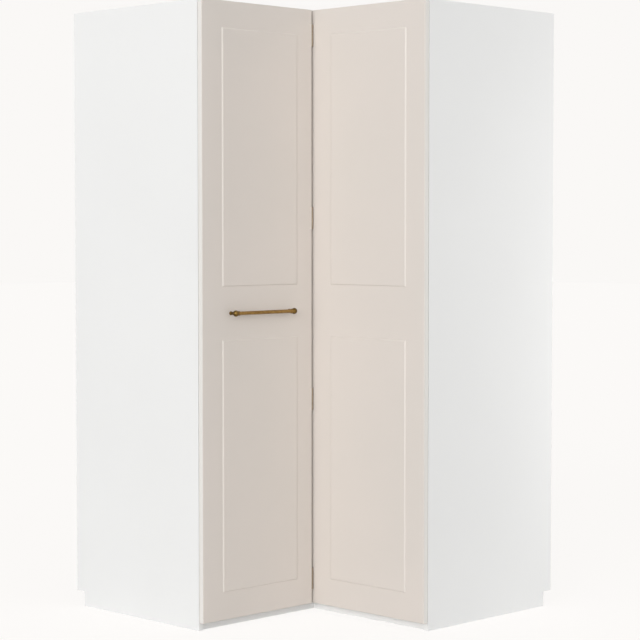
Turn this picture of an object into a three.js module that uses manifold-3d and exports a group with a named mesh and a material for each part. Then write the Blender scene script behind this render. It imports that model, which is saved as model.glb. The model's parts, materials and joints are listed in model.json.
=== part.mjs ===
// A corner wardrobe: two wings at a right angle, closed by a folding pair of framed leaves.
// Millimetres, +Z up. The working origin is on the floor, where the two leaf fronts meet.
// The right wing runs along +X and the left wing along -Y. In a wing, u is the distance from
// the inner corner along the leaf front, and v is the depth behind that front.

import * as THREE from 'three';
import { mergeVertices } from 'three/addons/utils/BufferGeometryUtils.js';
import Module from 'manifold-3d';

const wasm = await Module();
wasm.setup();

// Overall sizes
const height = 2012;
const wingLength = 497;
const carcassDepth = 650;
const skirtingHeight = 50;
const skirtingDepth = 40;

// Boards and clearances
const board = 18;
const touch = 0.3;
const overrun = 2;
const rearRecess = 50;
const plinthHeight = 28;
const plinthSetback = 10;
const bearerSetback = 22;
const hatShelfClear = 294;
const partitionStart = 81;
const shelfCount = 4;
const shelfSetback = 15;
const postSide = 32;
const battenHeight = 100;

// Back sheets
const backThickness = 3;
const grooveDepth = 6;
const leftBackJoint = 60;
const stripWeb = 1.2;
const stripFlange = 20;
const stripThickness = 1.2;

// Leaves
const leafThickness = 19;
const leafToCarcass = 2;
const leafFloorGap = 26;
const bottomRail = 88;
const middleRailLow = 932.5;
const middleRail = 166.5;
const topRail = 83;
const rightInnerStile = 97;
const rightOuterStile = 77;
const leftInnerStile = 66.5;
const leftOuterStile = 82;
const fieldRise = 3;
const fieldBevel = 8;
const fieldSteps = 6;
const fieldRoot = 1;
const arrisRadius = 2;
const arrisSteps = 3;
const backArris = 0.5;

// Handle
const handleNearEnd = 116;
const handleFarEnd = 376;
const handleStandOff = 25;
const barRadius = 6;
const ballRadius = 10;
const barCollarRadius = 7.5;
const barCollarLength = 5;
const postRadius = 5;
const rosetteRadius = 6.5;
const rosetteThickness = 3;
const barSeatDepth = 5;
const handleSides = 16;
const ballSteps = 6;
const handleScrewRadius = 2;
const handleScrewHeadRadius = 4;
const handleScrewHead = 2.4;

// Concealed hinges between the right leaf and its side panel
const hingeEndOffset = 84;
const pivotFromEdge = 5;
const pivotDepth = 4;
const cupFromEdge = 22.5;
const cupRadius = 17.5;
const cupDepth = 12.5;
const cupWall = 1.3;
const cupFlangeRadius = 19;
const cupFlange = 1.2;
const cupSides = 24;
const cupWingHalf = 31;
const cupWingWidth = 13;
const cupScrewOffset = 9.5;
const cupScrewHalf = 24;
const plateFromFront = 37;
const plateThickness = 3;
const plateWingHalf = 26;
const plateWingWidth = 17;
const plateScrewHalf = 16;
const plateLength = 52;
const plateSpineHalf = 8;
const ridgeHeight = 8;
const ridgeHalf = 6;
const armDepth = 16;
const armHalf = 8;
const armWall = 1.5;
const armNose = 18;
const armLength = 72;
const armChamfer = 7;
const noseGap = 0.6;

// Knuckle hinges between the two leaves, shut flat in the joint when the leaves stand square
const knuckleRadius = 4.5;
const knuckleBore = 2.3;
const foldPinRadius = 2;
const knuckleLength = 14;
const knuckleCount = 5;
const foldPlate = 1.6;
const foldPlateEdge = 0.5;
const foldHingeCount = 4;
const foldScrewShare = 0.31;
const knuckleSides = 16;
const pinHeadRadius = 2.9;
const pinHead = 1.2;

// Screws
const screwShank = 1.6;
const screwHead = 3.1;
const screwHeadDepth = 1.5;
const screwDome = 0.5;
const screwDomeRadius = 1.9;
const foldScrewLength = 15;
const cupScrewLength = 13;
const plateScrewLength = 15;
const screwSides = 8;

// Shelf pins
const pinRadius = 2.5;
const pinSunk = 9;
const pinProud = 8;
const pinTip = 0.6;
const pinRowFront = 37;
const pinRowRear = 40;

// Clothes rail
const railHeight = 30;
const railWidth = 15;
const railWall = 1.2;
const railDepth = 310;
const railDrop = 62;
const socketBase = 3;
const socketMargin = 7;
const socketCollar = 12;
const socketWall = 2.7;
const hangerLength = 16;
const hangerStem = 4;
const hangerPlateHalf = 18;
const roundSteps = 6;

// Catches and bumpers
const catchHeight = 46;
const catchWidth = 14;
const catchDepth = 22;
const catchCentre = 1180;
const catchSlot = 5;
const catchSlotDepth = 3;
const strikeThickness = 1.4;
const strikeWidth = 12;
const strikeHeight = 36;
const bumperRadius = 5;
const bumperRoot = 1;
const bumperFromCorner = 40;
const bumperFromEnd = 40;
const bumperSides = 10;
const bumperSteps = 3;

// Places worked out from the sizes above
// The right leaf runs on behind the left leaf's end, and the shut hinges fill the joint between.
const rightLeafStart = -leafThickness;
const leftLeafStart = 2 * (knuckleRadius + touch);
const carcassFront = leafThickness + leafToCarcass;
const boardRear = carcassDepth - rearRecess;
const panelInner = wingLength - board;
const boardEnd = panelInner - touch;
const floorTop = plinthHeight + touch + board;
const ceiling = height - board;
const hatShelfBottom = ceiling - hatShelfClear - board;
const hatShelfTop = hatShelfBottom + board;
const partitionEnd = partitionStart + board;
const backFront = boardRear + touch;
const backRear = backFront + backThickness;
const plinthFront = carcassFront + plinthSetback;
const plinthRear = plinthFront + board;
const bearerRear = boardRear - bearerSetback;
const bearerFront = bearerRear - board;
const shelfFront = plinthFront;
const postStart = boardRear - postSide;
const battenTop = hatShelfBottom - touch;
const battenFront = boardRear - board;
const railCentre = hatShelfBottom - railDrop;
const shelfCell = (hatShelfBottom - floorTop - shelfCount * board) / (shelfCount + 1);
const shelfBottoms = Array.from({ length: shelfCount }, (_, i) => floorTop + (i + 1) * shelfCell + i * board);
const pinRows = [carcassFront + pinRowFront, boardRear - pinRowRear];
// The two middle hinges stand clear of the shelves: in the second cell and in the top one.
const hingeHeights = [
  leafFloorGap + hingeEndOffset,
  shelfBottoms[0] + board + shelfCell / 2,
  hatShelfBottom - shelfCell / 2,
  height - hingeEndOffset,
];
const foldHingeSpan = hingeHeights.at(-1) - hingeHeights[0];
const foldHingeHeights = Array.from({ length: foldHingeCount },
  (_, i) => hingeHeights[0] + foldHingeSpan * i / (foldHingeCount - 1));
const knucklePitch = knuckleLength + touch;
const foldHingeHalf = (knuckleCount * knucklePitch - touch) / 2;
const knuckleX = -knuckleRadius;
const knuckleY = -leftLeafStart / 2;
const foldPlateReach = leafThickness - foldPlateEdge - knuckleRadius;
const foldScrewHalf = foldScrewShare * 2 * foldHingeHalf;
const pivotX = wingLength - pivotFromEdge;
const pivotY = pivotDepth;
const cupCentre = wingLength - cupFromEdge;
const handleHeight = middleRailLow + middleRail / 2;
const originShift = (carcassDepth - wingLength) / 2;

// Materials, with colours as the pieces look in daylight
const finish = (color, roughness, metalness) =>
  new THREE.MeshStandardMaterial({ color, roughness, metalness });
const paintedLeaf = finish(0xd9d2c8, 0.45, 0);
const whiteBoard = finish(0xf0efec, 0.5, 0);
const whiteBack = finish(0xe8e7e3, 0.6, 0);
const agedBrass = finish(0xa8823e, 0.38, 1);
const darkBronze = finish(0x5b5044, 0.45, 1);
const nickel = finish(0xb9bbbd, 0.3, 1);
const chrome = finish(0xd2d5d8, 0.15, 1);
const whitePlastic = finish(0xe9e9e6, 0.4, 0);

// Geometry helpers

// Merges shared vertices, drops empty triangles and turns the faces outwards.
function weld(geometry) {
  const bare = geometry.clone();
  bare.deleteAttribute('normal');
  bare.deleteAttribute('uv');
  const merged = mergeVertices(bare);
  const place = merged.attributes.position;
  const kept = [];
  for (let i = 0; i < merged.index.count; i += 3) {
    const [a, b, c] = [0, 1, 2].map((k) => merged.index.getX(i + k));
    if (a !== b && b !== c && c !== a) kept.push([a, b, c]);
  }
  const corner = (i) => new THREE.Vector3().fromBufferAttribute(place, i);
  let volume = 0;
  for (const [a, b, c] of kept) volume += corner(a).dot(corner(b).cross(corner(c)));
  const faces = volume < 0 ? kept.map(([a, b, c]) => [a, c, b]) : kept;
  merged.setIndex(faces.flat());
  return merged;
}

function toSolid(geometry) {
  const closed = weld(geometry);
  const vertProperties = new Float32Array(closed.attributes.position.array);
  const triVerts = new Uint32Array(closed.index.array);
  return new wasm.Manifold(new wasm.Mesh({ numProp: 3, vertProperties, triVerts }));
}

function toGeometry(solid) {
  const mesh = solid.getMesh();
  const geometry = new THREE.BufferGeometry();
  geometry.setAttribute('position', new THREE.BufferAttribute(new Float32Array(mesh.vertProperties), 3));
  geometry.setIndex(new THREE.BufferAttribute(new Uint32Array(mesh.triVerts), 1));
  return geometry;
}

function join(...geometries) {
  return toGeometry(geometries.map(toSolid).reduce((sum, piece) => sum.add(piece)));
}

function cut(base, ...tools) {
  return toGeometry(tools.map(toSolid).reduce((rest, tool) => rest.subtract(tool), toSolid(base)));
}

// A box from its lowest and highest values along each axis.
function block([x0, x1], [y0, y1], [z0, z1]) {
  const geometry = new THREE.BoxGeometry(x1 - x0, y1 - y0, z1 - z0);
  geometry.translate((x0 + x1) / 2, (y0 + y1) / 2, (z0 + z1) / 2);
  return geometry;
}

// Extrudes an outline along an axis. The outline's pairs are the two other coordinates:
// (y, z) along x, (z, x) along y and (x, y) along z.
function extrudeAlong(axis, outline, [low, high]) {
  const shape = outline instanceof THREE.Shape ? outline : new THREE.Shape(
    outline.map(([a, b]) => new THREE.Vector2(a, b)));
  const geometry = new THREE.ExtrudeGeometry(shape, {
    depth: high - low, bevelEnabled: false, curveSegments: roundSteps,
  });
  geometry.translate(0, 0, low);
  const turn = {
    x: [0, 0, 1, 0, 1, 0, 0, 0, 0, 1, 0, 0],
    y: [0, 1, 0, 0, 0, 0, 1, 0, 1, 0, 0, 0],
    z: [1, 0, 0, 0, 0, 1, 0, 0, 0, 0, 1, 0],
  }[axis];
  geometry.applyMatrix4(new THREE.Matrix4().set(...turn, 0, 0, 0, 1));
  return geometry;
}

// Turns a shape made round the Y axis so that its +Y points along the given direction.
function aim(geometry, direction) {
  const turn = new THREE.Quaternion().setFromUnitVectors(
    new THREE.Vector3(0, 1, 0), new THREE.Vector3(...direction));
  return geometry.clone().applyQuaternion(turn);
}

function turned(profile, sides) {
  return new THREE.LatheGeometry(profile.map(([r, y]) => new THREE.Vector2(r, y)), sides);
}

function moved(geometry, x, y, z) {
  return geometry.clone().translate(x, y, z);
}

// A round bar from its start point along a direction.
function rod(radius, length, sides, direction, [x, y, z]) {
  const geometry = turned([[0, 0], [radius, 0], [radius, length], [0, length]], sides);
  return moved(aim(geometry, direction), x, y, z);
}

// A closed plate made of rectangles stacked along v: each ring is an inset and a depth.
function ringPlate([u0, u1], [z0, z1], rings) {
  const points = [];
  for (const [inset, v] of rings) {
    points.push([u0 + inset, v, z0 + inset], [u1 - inset, v, z0 + inset]);
    points.push([u1 - inset, v, z1 - inset], [u0 + inset, v, z1 - inset]);
  }
  const faces = [];
  for (let ring = 0; ring < rings.length - 1; ring += 1) {
    for (let k = 0; k < 4; k += 1) {
      const a = ring * 4 + k;
      const b = ring * 4 + (k + 1) % 4;
      faces.push(a, b, b + 4, a, b + 4, a + 4);
    }
  }
  const last = (rings.length - 1) * 4;
  faces.push(0, 2, 1, 0, 3, 2, last, last + 1, last + 2, last, last + 2, last + 3);
  const geometry = new THREE.BufferGeometry();
  geometry.setAttribute('position', new THREE.Float32BufferAttribute(points.flat(), 3));
  geometry.setIndex(faces);
  return geometry;
}

// Mirrors a shape from the right wing's axes into the left wing's.
function toLeftWing(geometry) {
  const swapped = geometry.clone();
  swapped.applyMatrix4(new THREE.Matrix4().set(0, -1, 0, 0, -1, 0, 0, 0, 0, 0, 1, 0, 0, 0, 0, 1));
  return weld(swapped);
}

// Scene graph

const wardrobe = new THREE.Group();
wardrobe.name = 'corner_wardrobe';
wardrobe.position.set(originShift, -originShift, 0);

const carcass = new THREE.Group();
const rightLeafBody = new THREE.Group();
rightLeafBody.position.set(pivotX, pivotY, 0);
const leftLeafBody = new THREE.Group();
leftLeafBody.position.set(knuckleX - pivotX, knuckleY - pivotY, 0);
wardrobe.add(carcass, rightLeafBody);
rightLeafBody.add(leftLeafBody);

// Adds a piece whose geometry lies in the working frame, with its own centre as its place.
function add(body, name, geometry, material) {
  const piece = weld(geometry);
  piece.computeBoundingBox();
  const centre = piece.boundingBox.getCenter(new THREE.Vector3());
  piece.translate(-centre.x, -centre.y, -centre.z);
  const mesh = new THREE.Mesh(piece, material);
  mesh.name = name;
  const home = new THREE.Vector3();
  for (let group = body; group && group !== wardrobe; group = group.parent) home.add(group.position);
  mesh.position.copy(centre.sub(home));
  body.add(mesh);
}

// A board in wing coordinates.
function wingBlock(side, u, v, z) {
  const geometry = block(u, v, z);
  return side === 'left' ? toLeftWing(geometry) : geometry;
}

// A raised countersunk screw, its head's rim at the origin and its tip down.
function screwAt(length, direction, [x, y, z]) {
  const profile = [
    [0, screwDome],
    [screwDomeRadius, screwDome],
    [screwHead, 0],
    [screwShank, -screwHeadDepth],
    [screwShank, screwShank - length],
    [0, -length],
  ];
  return moved(aim(turned(profile, screwSides), direction), x, y, z);
}

// The hole for such a screw, with clearance all round, running out past the head.
function screwHole(length, direction, [x, y, z]) {
  const profile = [
    [0, overrun],
    [screwHead + touch, overrun],
    [screwHead + touch, 0],
    [screwShank + touch, -screwHeadDepth],
    [screwShank + touch, -length - touch],
    [0, -length - touch],
  ];
  return moved(aim(turned(profile, screwSides), direction), x, y, z);
}

// Side panels

// The places on the right side panel where the hinge plates' screws go in.
function plateScrewPlaces() {
  const face = boardEnd - plateThickness;
  const depth = carcassFront + plateFromFront;
  return hingeHeights.flatMap((z) => [-1, 1].map((k) => [face, depth, z + k * plateScrewHalf]));
}

function pinPlaces(face) {
  return shelfBottoms.flatMap((z) => pinRows.map((y) => [face, y, z - touch - pinRadius]));
}

// The shelf pins stand in the board that carries them, and are one piece with it.
function shelfPins(face, direction) {
  const pin = turned([
    [0, -pinSunk], [pinRadius, -pinSunk], [pinRadius, pinProud - pinTip],
    [pinRadius - pinTip, pinProud], [0, pinProud],
  ], screwSides);
  return pinPlaces(face).map((at) => moved(aim(pin, [direction, 0, 0]), ...at));
}

function sidePanel() {
  const outline = [
    [carcassFront, 0],
    [carcassDepth - skirtingDepth, 0],
    [carcassDepth - skirtingDepth, skirtingHeight],
    [carcassDepth, skirtingHeight],
    [carcassDepth, height],
    [carcassFront, height],
  ];
  const panel = extrudeAlong('x', outline, [panelInner, wingLength]);
  const groove = block([panelInner - overrun, panelInner + grooveDepth],
    [boardRear, backRear + touch], [-overrun, height + overrun]);
  return cut(panel, groove);
}

function addSidePanels() {
  const holes = plateScrewPlaces().map((at) => screwHole(plateScrewLength, [-1, 0, 0], at));
  const rightPanel = join(cut(sidePanel(), ...holes), ...shelfPins(panelInner, -1));
  add(carcass, 'side_panel_right', rightPanel, whiteBoard);
  add(carcass, 'side_panel_left', toLeftWing(sidePanel()), whiteBoard);
}

// Boards between the side panels

// The left board reaches into the rear corner, and the right board butts against it.
function addBoardPair(name, front, z, cornerCut) {
  const leftBoard = wingBlock('left', [-boardRear, boardEnd], [front, boardRear], z);
  add(carcass, `${name}_left`, cornerCut ? cut(leftBoard, cornerCut) : leftBoard, whiteBoard);
  const rightBoard = block([-front + touch, boardEnd], [front, boardRear], z);
  add(carcass, `${name}_right`, rightBoard, whiteBoard);
}

function addBoards() {
  addBoardPair('bottom_board', carcassFront, [floorTop - board, floorTop]);
  addBoardPair('top_board', carcassFront, [ceiling, height]);
  const postRoom = block([-boardRear - overrun, -postStart + touch],
    [postStart - touch, boardRear + overrun], [hatShelfBottom - overrun, hatShelfTop + overrun]);
  addBoardPair('hat_shelf', shelfFront, [hatShelfBottom, hatShelfTop], postRoom);
}

function addPlinths() {
  const low = [0, plinthHeight];
  const depth = [plinthFront, plinthRear];
  add(carcass, 'plinth_left', wingBlock('left', [-plinthRear, boardEnd], depth, low), whiteBoard);
  add(carcass, 'plinth_right', block([-plinthFront + touch, boardEnd], depth, low), whiteBoard);
  const leftBearer = wingBlock('left', [-bearerRear, boardEnd], [bearerFront, bearerRear], low);
  const rightBearer = block([-bearerFront + touch, boardEnd], [bearerFront, bearerRear], low);
  add(carcass, 'rear_bearer_left', leftBearer, whiteBoard);
  add(carcass, 'rear_bearer_right', rightBearer, whiteBoard);
}

// Uprights, battens and shelves

function addUprights() {
  const post = block([-boardRear, -postStart], [postStart, boardRear], [floorTop + touch, ceiling - touch]);
  add(carcass, 'rear_corner_post', post, whiteBoard);
  const partition = block([partitionStart, partitionEnd], [shelfFront, boardRear],
    [floorTop + touch, hatShelfBottom - touch]);
  add(carcass, 'partition', join(partition, ...shelfPins(partitionEnd, 1)), whiteBoard);
  const battenSpan = [battenTop - battenHeight, battenTop];
  const depth = [battenFront, boardRear];
  const railBatten = block([-postStart + touch, partitionStart - touch], depth, battenSpan);
  add(carcass, 'rail_batten', railBatten, whiteBoard);
  const leftBatten = wingBlock('left', [-postStart + touch, boardEnd], depth, battenSpan);
  add(carcass, 'back_batten_left', leftBatten, whiteBoard);
}

function addShelves() {
  const depth = [carcassFront + shelfSetback, boardRear];
  shelfBottoms.forEach((z, i) => {
    const shelf = block([partitionEnd + touch, boardEnd], depth, [z, z + board]);
    add(carcass, `shelf_${i + 1}`, shelf, whiteBoard);
  });
}

// Back sheets: two a wing, held in the side panels' grooves. The right pair meets behind the
// partition, and the left pair has a T strip over its joint.

function addBackSheets() {
  const depth = [backFront, backRear];
  const rise = [floorTop - board, height];
  const grooveEnd = panelInner + grooveDepth - touch;
  const gap = stripWeb / 2 + touch;
  const rightJoint = (partitionStart + partitionEnd) / 2;
  const sheets = [
    ['left', 'outer', [-leftBackJoint + gap, grooveEnd]],
    ['left', 'inner', [-backRear, -leftBackJoint - gap]],
    ['right', 'outer', [rightJoint + gap, grooveEnd]],
    ['right', 'inner', [-boardRear, rightJoint - gap]],
  ];
  for (const [side, part, span] of sheets) {
    add(carcass, `back_sheet_${side}_${part}`, wingBlock(side, span, depth, rise), whiteBack);
  }
  const stripFace = backRear + touch;
  const strip = extrudeAlong('z', [
    [-leftBackJoint - stripWeb / 2, backFront],
    [-leftBackJoint + stripWeb / 2, backFront],
    [-leftBackJoint + stripWeb / 2, stripFace],
    [-leftBackJoint + stripFlange / 2, stripFace],
    [-leftBackJoint + stripFlange / 2, stripFace + stripThickness],
    [-leftBackJoint - stripFlange / 2, stripFace + stripThickness],
    [-leftBackJoint - stripFlange / 2, stripFace],
    [-leftBackJoint - stripWeb / 2, stripFace],
  ], rise);
  add(carcass, 'back_joint_strip', toLeftWing(strip), whitePlastic);
}

// Clothes rail: an oval tube from the left side panel to the rear batten

function addClothesRail() {
  const nearFace = -boardEnd;
  const farFace = battenFront - touch;
  const rise = (outline, span) => moved(extrudeAlong('y', outline, span), -railDepth, 0, railCentre);
  // An outline along y lies in (z, x), so the oval's long side is its first coordinate.
  const oval = (grow) => {
    const shape = new THREE.Shape();
    const radius = railWidth / 2 + grow;
    const reach = (railHeight - railWidth) / 2;
    shape.absarc(reach, 0, radius, -Math.PI / 2, Math.PI / 2, false);
    shape.absarc(-reach, 0, radius, Math.PI / 2, 3 * Math.PI / 2, false);
    return shape;
  };
  const railSpan = [nearFace + socketBase + touch, farFace - socketBase - touch];
  const boreSpan = [railSpan[0] - overrun, railSpan[1] + overrun];
  add(carcass, 'clothes_rail', cut(rise(oval(0), railSpan), rise(oval(-railWall), boreSpan)), chrome);
  const socket = (face, direction) => {
    const span = (from, to) => [face + direction * from, face + direction * to].sort((a, b) => a - b);
    const base = rise(oval(socketMargin), span(0, socketBase));
    const collar = rise(oval(touch + socketWall), span(0, socketBase + socketCollar));
    const room = rise(oval(touch), span(socketBase, socketBase + socketCollar + overrun));
    return cut(join(base, collar), room);
  };
  add(carcass, 'rail_socket_side', socket(nearFace, 1), chrome);
  add(carcass, 'rail_socket_rear', socket(farFace, -1), chrome);
  const middle = (railSpan[0] + railSpan[1]) / 2;
  const strapSpan = [middle - hangerLength / 2, middle + hangerLength / 2];
  const plate = block([-railDepth - hangerPlateHalf, -railDepth + hangerPlateHalf],
    [middle - hangerPlateHalf, middle + hangerPlateHalf], [battenTop - socketBase, battenTop]);
  const stemFoot = [-railDepth, middle, railCentre];
  const stem = rod(hangerStem, battenTop - railCentre, screwSides, [0, 0, 1], stemFoot);
  const strap = rise(oval(touch + socketWall), strapSpan);
  const strapRoom = rise(oval(touch), [strapSpan[0] - overrun, strapSpan[1] + overrun]);
  add(carcass, 'rail_centre_hanger', cut(join(plate, stem, strap), strapRoom), chrome);
}

// Concealed hinges: arm and mounting plate on the side panel, cup in the leaf

function hingeArm(z) {
  const back = boardEnd - plateThickness - touch;
  const front = leafThickness + touch + cupFlange + noseGap;
  const rear = front + armLength;
  const outline = [
    [back, front],
    [back, rear],
    [back - armDepth + armChamfer, rear],
    [back - armDepth, rear - armChamfer],
    [back - armDepth, front + armChamfer],
    [back - armDepth + armChamfer, front],
  ];
  const arm = extrudeAlong('z', outline, [z - armHalf, z + armHalf]);
  const channel = block([back - armDepth + armWall, back + overrun], [front + armNose, rear + overrun],
    [z - armHalf + armWall, z + armHalf - armWall]);
  return cut(arm, channel);
}

function mountingPlate(z) {
  const face = boardEnd - plateThickness;
  const centre = carcassFront + plateFromFront;
  const spine = [centre - plateWingWidth / 2, centre - plateWingWidth / 2 + plateLength];
  const wings = block([face, boardEnd], [centre - plateWingWidth / 2, centre + plateWingWidth / 2],
    [z - plateWingHalf, z + plateWingHalf]);
  const foot = block([face, boardEnd], spine, [z - plateSpineHalf, z + plateSpineHalf]);
  const ridge = block([face - ridgeHeight, boardEnd], [spine[0] + plateThickness, spine[1]],
    [z - ridgeHalf, z + ridgeHalf]);
  return join(wings, foot, ridge);
}

function hingeCup(z) {
  const back = leafThickness + touch;
  const floor = leafThickness - cupDepth;
  const top = back + cupFlange;
  const down = [0, 1, 0];
  const bowl = rod(cupRadius, top - floor, cupSides, down, [cupCentre, floor, z]);
  const rim = rod(cupFlangeRadius, cupFlange, cupSides, down, [cupCentre, back, z]);
  const wingCentre = cupCentre - cupScrewOffset;
  const wings = block([wingCentre - cupWingWidth / 2, wingCentre + cupWingWidth / 2], [back, top],
    [z - cupWingHalf, z + cupWingHalf]);
  const inside = rod(cupRadius - cupWall, top - floor, cupSides, down, [cupCentre, floor + cupWall, z]);
  const screws = cupScrewPlaces(z).map((at) => screwAt(cupScrewLength, [0, 1, 0], at));
  return join(cut(join(bowl, rim, wings), inside), ...screws);
}

function cupScrewPlaces(z) {
  const top = leafThickness + touch + cupFlange;
  return [-1, 1].map((k) => [cupCentre - cupScrewOffset, top, z + k * cupScrewHalf]);
}

function addCupHinges() {
  const screws = plateScrewPlaces().map((at) => screwAt(plateScrewLength, [-1, 0, 0], at));
  hingeHeights.forEach((z, i) => {
    add(carcass, `hinge_arm_${i + 1}`, hingeArm(z), nickel);
    const plate = join(mountingPlate(z), screws[2 * i], screws[2 * i + 1]);
    add(carcass, `hinge_mounting_plate_${i + 1}`, plate, nickel);
    add(rightLeafBody, `hinge_cup_${i + 1}`, hingeCup(z), nickel);
  });
}

// Knuckle hinges in the joint between the left leaf's end and the right leaf's front

// A round knuckle with its strip of plate, in the plate's own axes: the strip runs along +x
// from the pin, with its outer face on the knuckle's lowest line.
function knuckleSection(reach) {
  const shape = new THREE.Shape();
  shape.moveTo(0, -knuckleRadius);
  shape.lineTo(reach, -knuckleRadius);
  shape.lineTo(reach, -knuckleRadius + foldPlate);
  const inner = Math.sqrt(knuckleRadius ** 2 - (knuckleRadius - foldPlate) ** 2);
  shape.lineTo(inner, -knuckleRadius + foldPlate);
  const start = Math.atan2(-knuckleRadius + foldPlate, inner);
  shape.absarc(0, 0, knuckleRadius, start, 3 * Math.PI / 2, false);
  return shape;
}

// One plate with its knuckles. The parity says which of the stacked knuckles it carries.
function foldPlateShape(parity, reach) {
  const pieces = [];
  for (let k = 0; k < knuckleCount; k += 1) {
    if (k % 2 !== parity) continue;
    const low = -foldHingeHalf + k * knucklePitch;
    pieces.push(extrudeAlong('z', knuckleSection(reach), [low, low + knuckleLength]));
  }
  pieces.push(block([knuckleRadius + touch, reach], [-knuckleRadius, -knuckleRadius + foldPlate],
    [-foldHingeHalf, foldHingeHalf]));
  const bore = rod(knuckleBore, 2 * foldHingeHalf + 2 * overrun, knuckleSides, [0, 0, 1],
    [0, 0, -foldHingeHalf - overrun]);
  return cut(join(...pieces), bore);
}

// The screw places along the middle of each plate's strip.
function foldScrewPlaces(side) {
  const x = knuckleX - (knuckleRadius + touch + foldPlateReach) / 2;
  const y = side === 'right' ? -touch - foldPlate : -leftLeafStart + touch + foldPlate;
  return foldHingeHeights.flatMap((z) => [[x, y, z - foldScrewHalf], [x, y, z + foldScrewHalf]]);
}

const foldScrewDirection = { right: [0, -1, 0], left: [0, 1, 0] };

function foldScrews(side) {
  return foldScrewPlaces(side).map((at) => screwAt(foldScrewLength, foldScrewDirection[side], at));
}

function foldScrewHoles(side) {
  return foldScrewPlaces(side).map((at) => screwHole(foldScrewLength, foldScrewDirection[side], at));
}

function addFoldHinges() {
  // Both strips run back along -X: one on the right leaf's front, one on the left leaf's end.
  const rightShape = foldPlateShape(0, foldPlateReach).rotateZ(Math.PI);
  const leftShape = foldPlateShape(1, foldPlateReach).scale(-1, 1, 1);
  const half = foldHingeHalf + touch;
  const pin = aim(turned([
    [0, -half - pinHead], [pinHeadRadius, -half - pinHead], [pinHeadRadius, -half], [foldPinRadius, -half],
    [foldPinRadius, half], [pinHeadRadius, half], [pinHeadRadius, half + pinHead], [0, half + pinHead],
  ], knuckleSides), [0, 0, 1]);
  const rightScrews = foldScrews('right');
  const leftScrews = foldScrews('left');
  foldHingeHeights.forEach((z, i) => {
    const own = [2 * i, 2 * i + 1];
    const place = (shape) => moved(shape, knuckleX, knuckleY, z);
    const rightPlate = join(place(rightShape), ...own.map((k) => rightScrews[k]));
    const leftPlate = join(place(leftShape), ...own.map((k) => leftScrews[k]));
    add(rightLeafBody, `fold_hinge_right_plate_${i + 1}`, rightPlate, darkBronze);
    add(leftLeafBody, `fold_hinge_left_plate_${i + 1}`, leftPlate, darkBronze);
    add(rightLeafBody, `fold_hinge_pin_${i + 1}`, place(pin), darkBronze);
  });
}

// Leaves: a slab with rounded arrises, two raised fields with soft bevels, and bumpers behind

const boardBumperPlaces = [floorTop - board / 2, ceiling + board / 2].map((z) => [bumperFromCorner, z]);
const panelBumperPlaces = [leafFloorGap + bumperFromEnd, height - bumperFromEnd].map(
  (z) => [wingLength - board / 2, z]);

// Low domes on a leaf's back that meet the carcass's front edges.
function bumpers(places) {
  const rise = leafToCarcass - touch;
  const profile = [[0, -bumperRoot], [bumperRadius, -bumperRoot], [bumperRadius, 0]];
  for (let i = 1; i <= bumperSteps; i += 1) {
    const angle = i / bumperSteps * Math.PI / 2;
    profile.push([i === bumperSteps ? 0 : bumperRadius * Math.cos(angle), rise * Math.sin(angle)]);
  }
  const bumper = aim(turned(profile, bumperSides), [0, 1, 0]);
  return places.map(([u, z]) => moved(bumper, u, leafThickness, z));
}

function leafSlab(span) {
  const rings = [];
  for (let i = 0; i <= arrisSteps; i += 1) {
    const angle = i / arrisSteps * Math.PI / 2;
    rings.push([arrisRadius * (1 - Math.sin(angle)), arrisRadius * (1 - Math.cos(angle))]);
  }
  rings.push([0, leafThickness - backArris], [backArris, leafThickness]);
  return ringPlate(span, [leafFloorGap, height], rings);
}

function raisedField(span, rise) {
  const rings = [[0, fieldRoot]];
  for (let i = 0; i <= fieldSteps; i += 1) {
    const share = i / fieldSteps;
    const lift = share - Math.sin(2 * Math.PI * share) / (2 * Math.PI);
    rings.push([fieldBevel * share, -fieldRise * lift]);
  }
  return ringPlate(span, rise, rings);
}

function framedLeaf(start, innerStile, outerStile) {
  const span = [start + innerStile, wingLength - outerStile];
  return join(
    leafSlab([start, wingLength]),
    raisedField(span, [leafFloorGap + bottomRail, middleRailLow]),
    raisedField(span, [middleRailLow + middleRail, height - topRail]),
  );
}

function addLeaves() {
  const cupRooms = hingeHeights.map((z) => rod(cupRadius + touch, cupDepth + touch + overrun, cupSides,
    [0, 1, 0], [cupCentre, leafThickness - cupDepth - touch, z]));
  const cupScrews = hingeHeights.flatMap(cupScrewPlaces).map(
    (at) => screwHole(cupScrewLength, [0, 1, 0], at));
  const rightSlab = framedLeaf(rightLeafStart, rightInnerStile, rightOuterStile);
  const rightLeaf = cut(rightSlab, ...cupRooms, ...cupScrews, ...foldScrewHoles('right'));
  add(rightLeafBody, 'right_leaf', join(rightLeaf, ...bumpers(boardBumperPlaces)), paintedLeaf);
  const leftSlab = framedLeaf(leftLeafStart, leftInnerStile, leftOuterStile);
  const leftLeaf = toLeftWing(join(leftSlab, ...bumpers([...boardBumperPlaces, ...panelBumperPlaces])));
  const handleHoles = [handleNearEnd, handleFarEnd].map((u) => rod(handleScrewRadius + touch,
    leafThickness + 2 * overrun, handleSides, [1, 0, 0], [-leafThickness - overrun, -u, handleHeight]));
  add(leftLeafBody, 'left_leaf', cut(leftLeaf, ...handleHoles, ...foldScrewHoles('left')), paintedLeaf);
}

// Handle: a round bar with collars between two ball-headed posts

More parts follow.
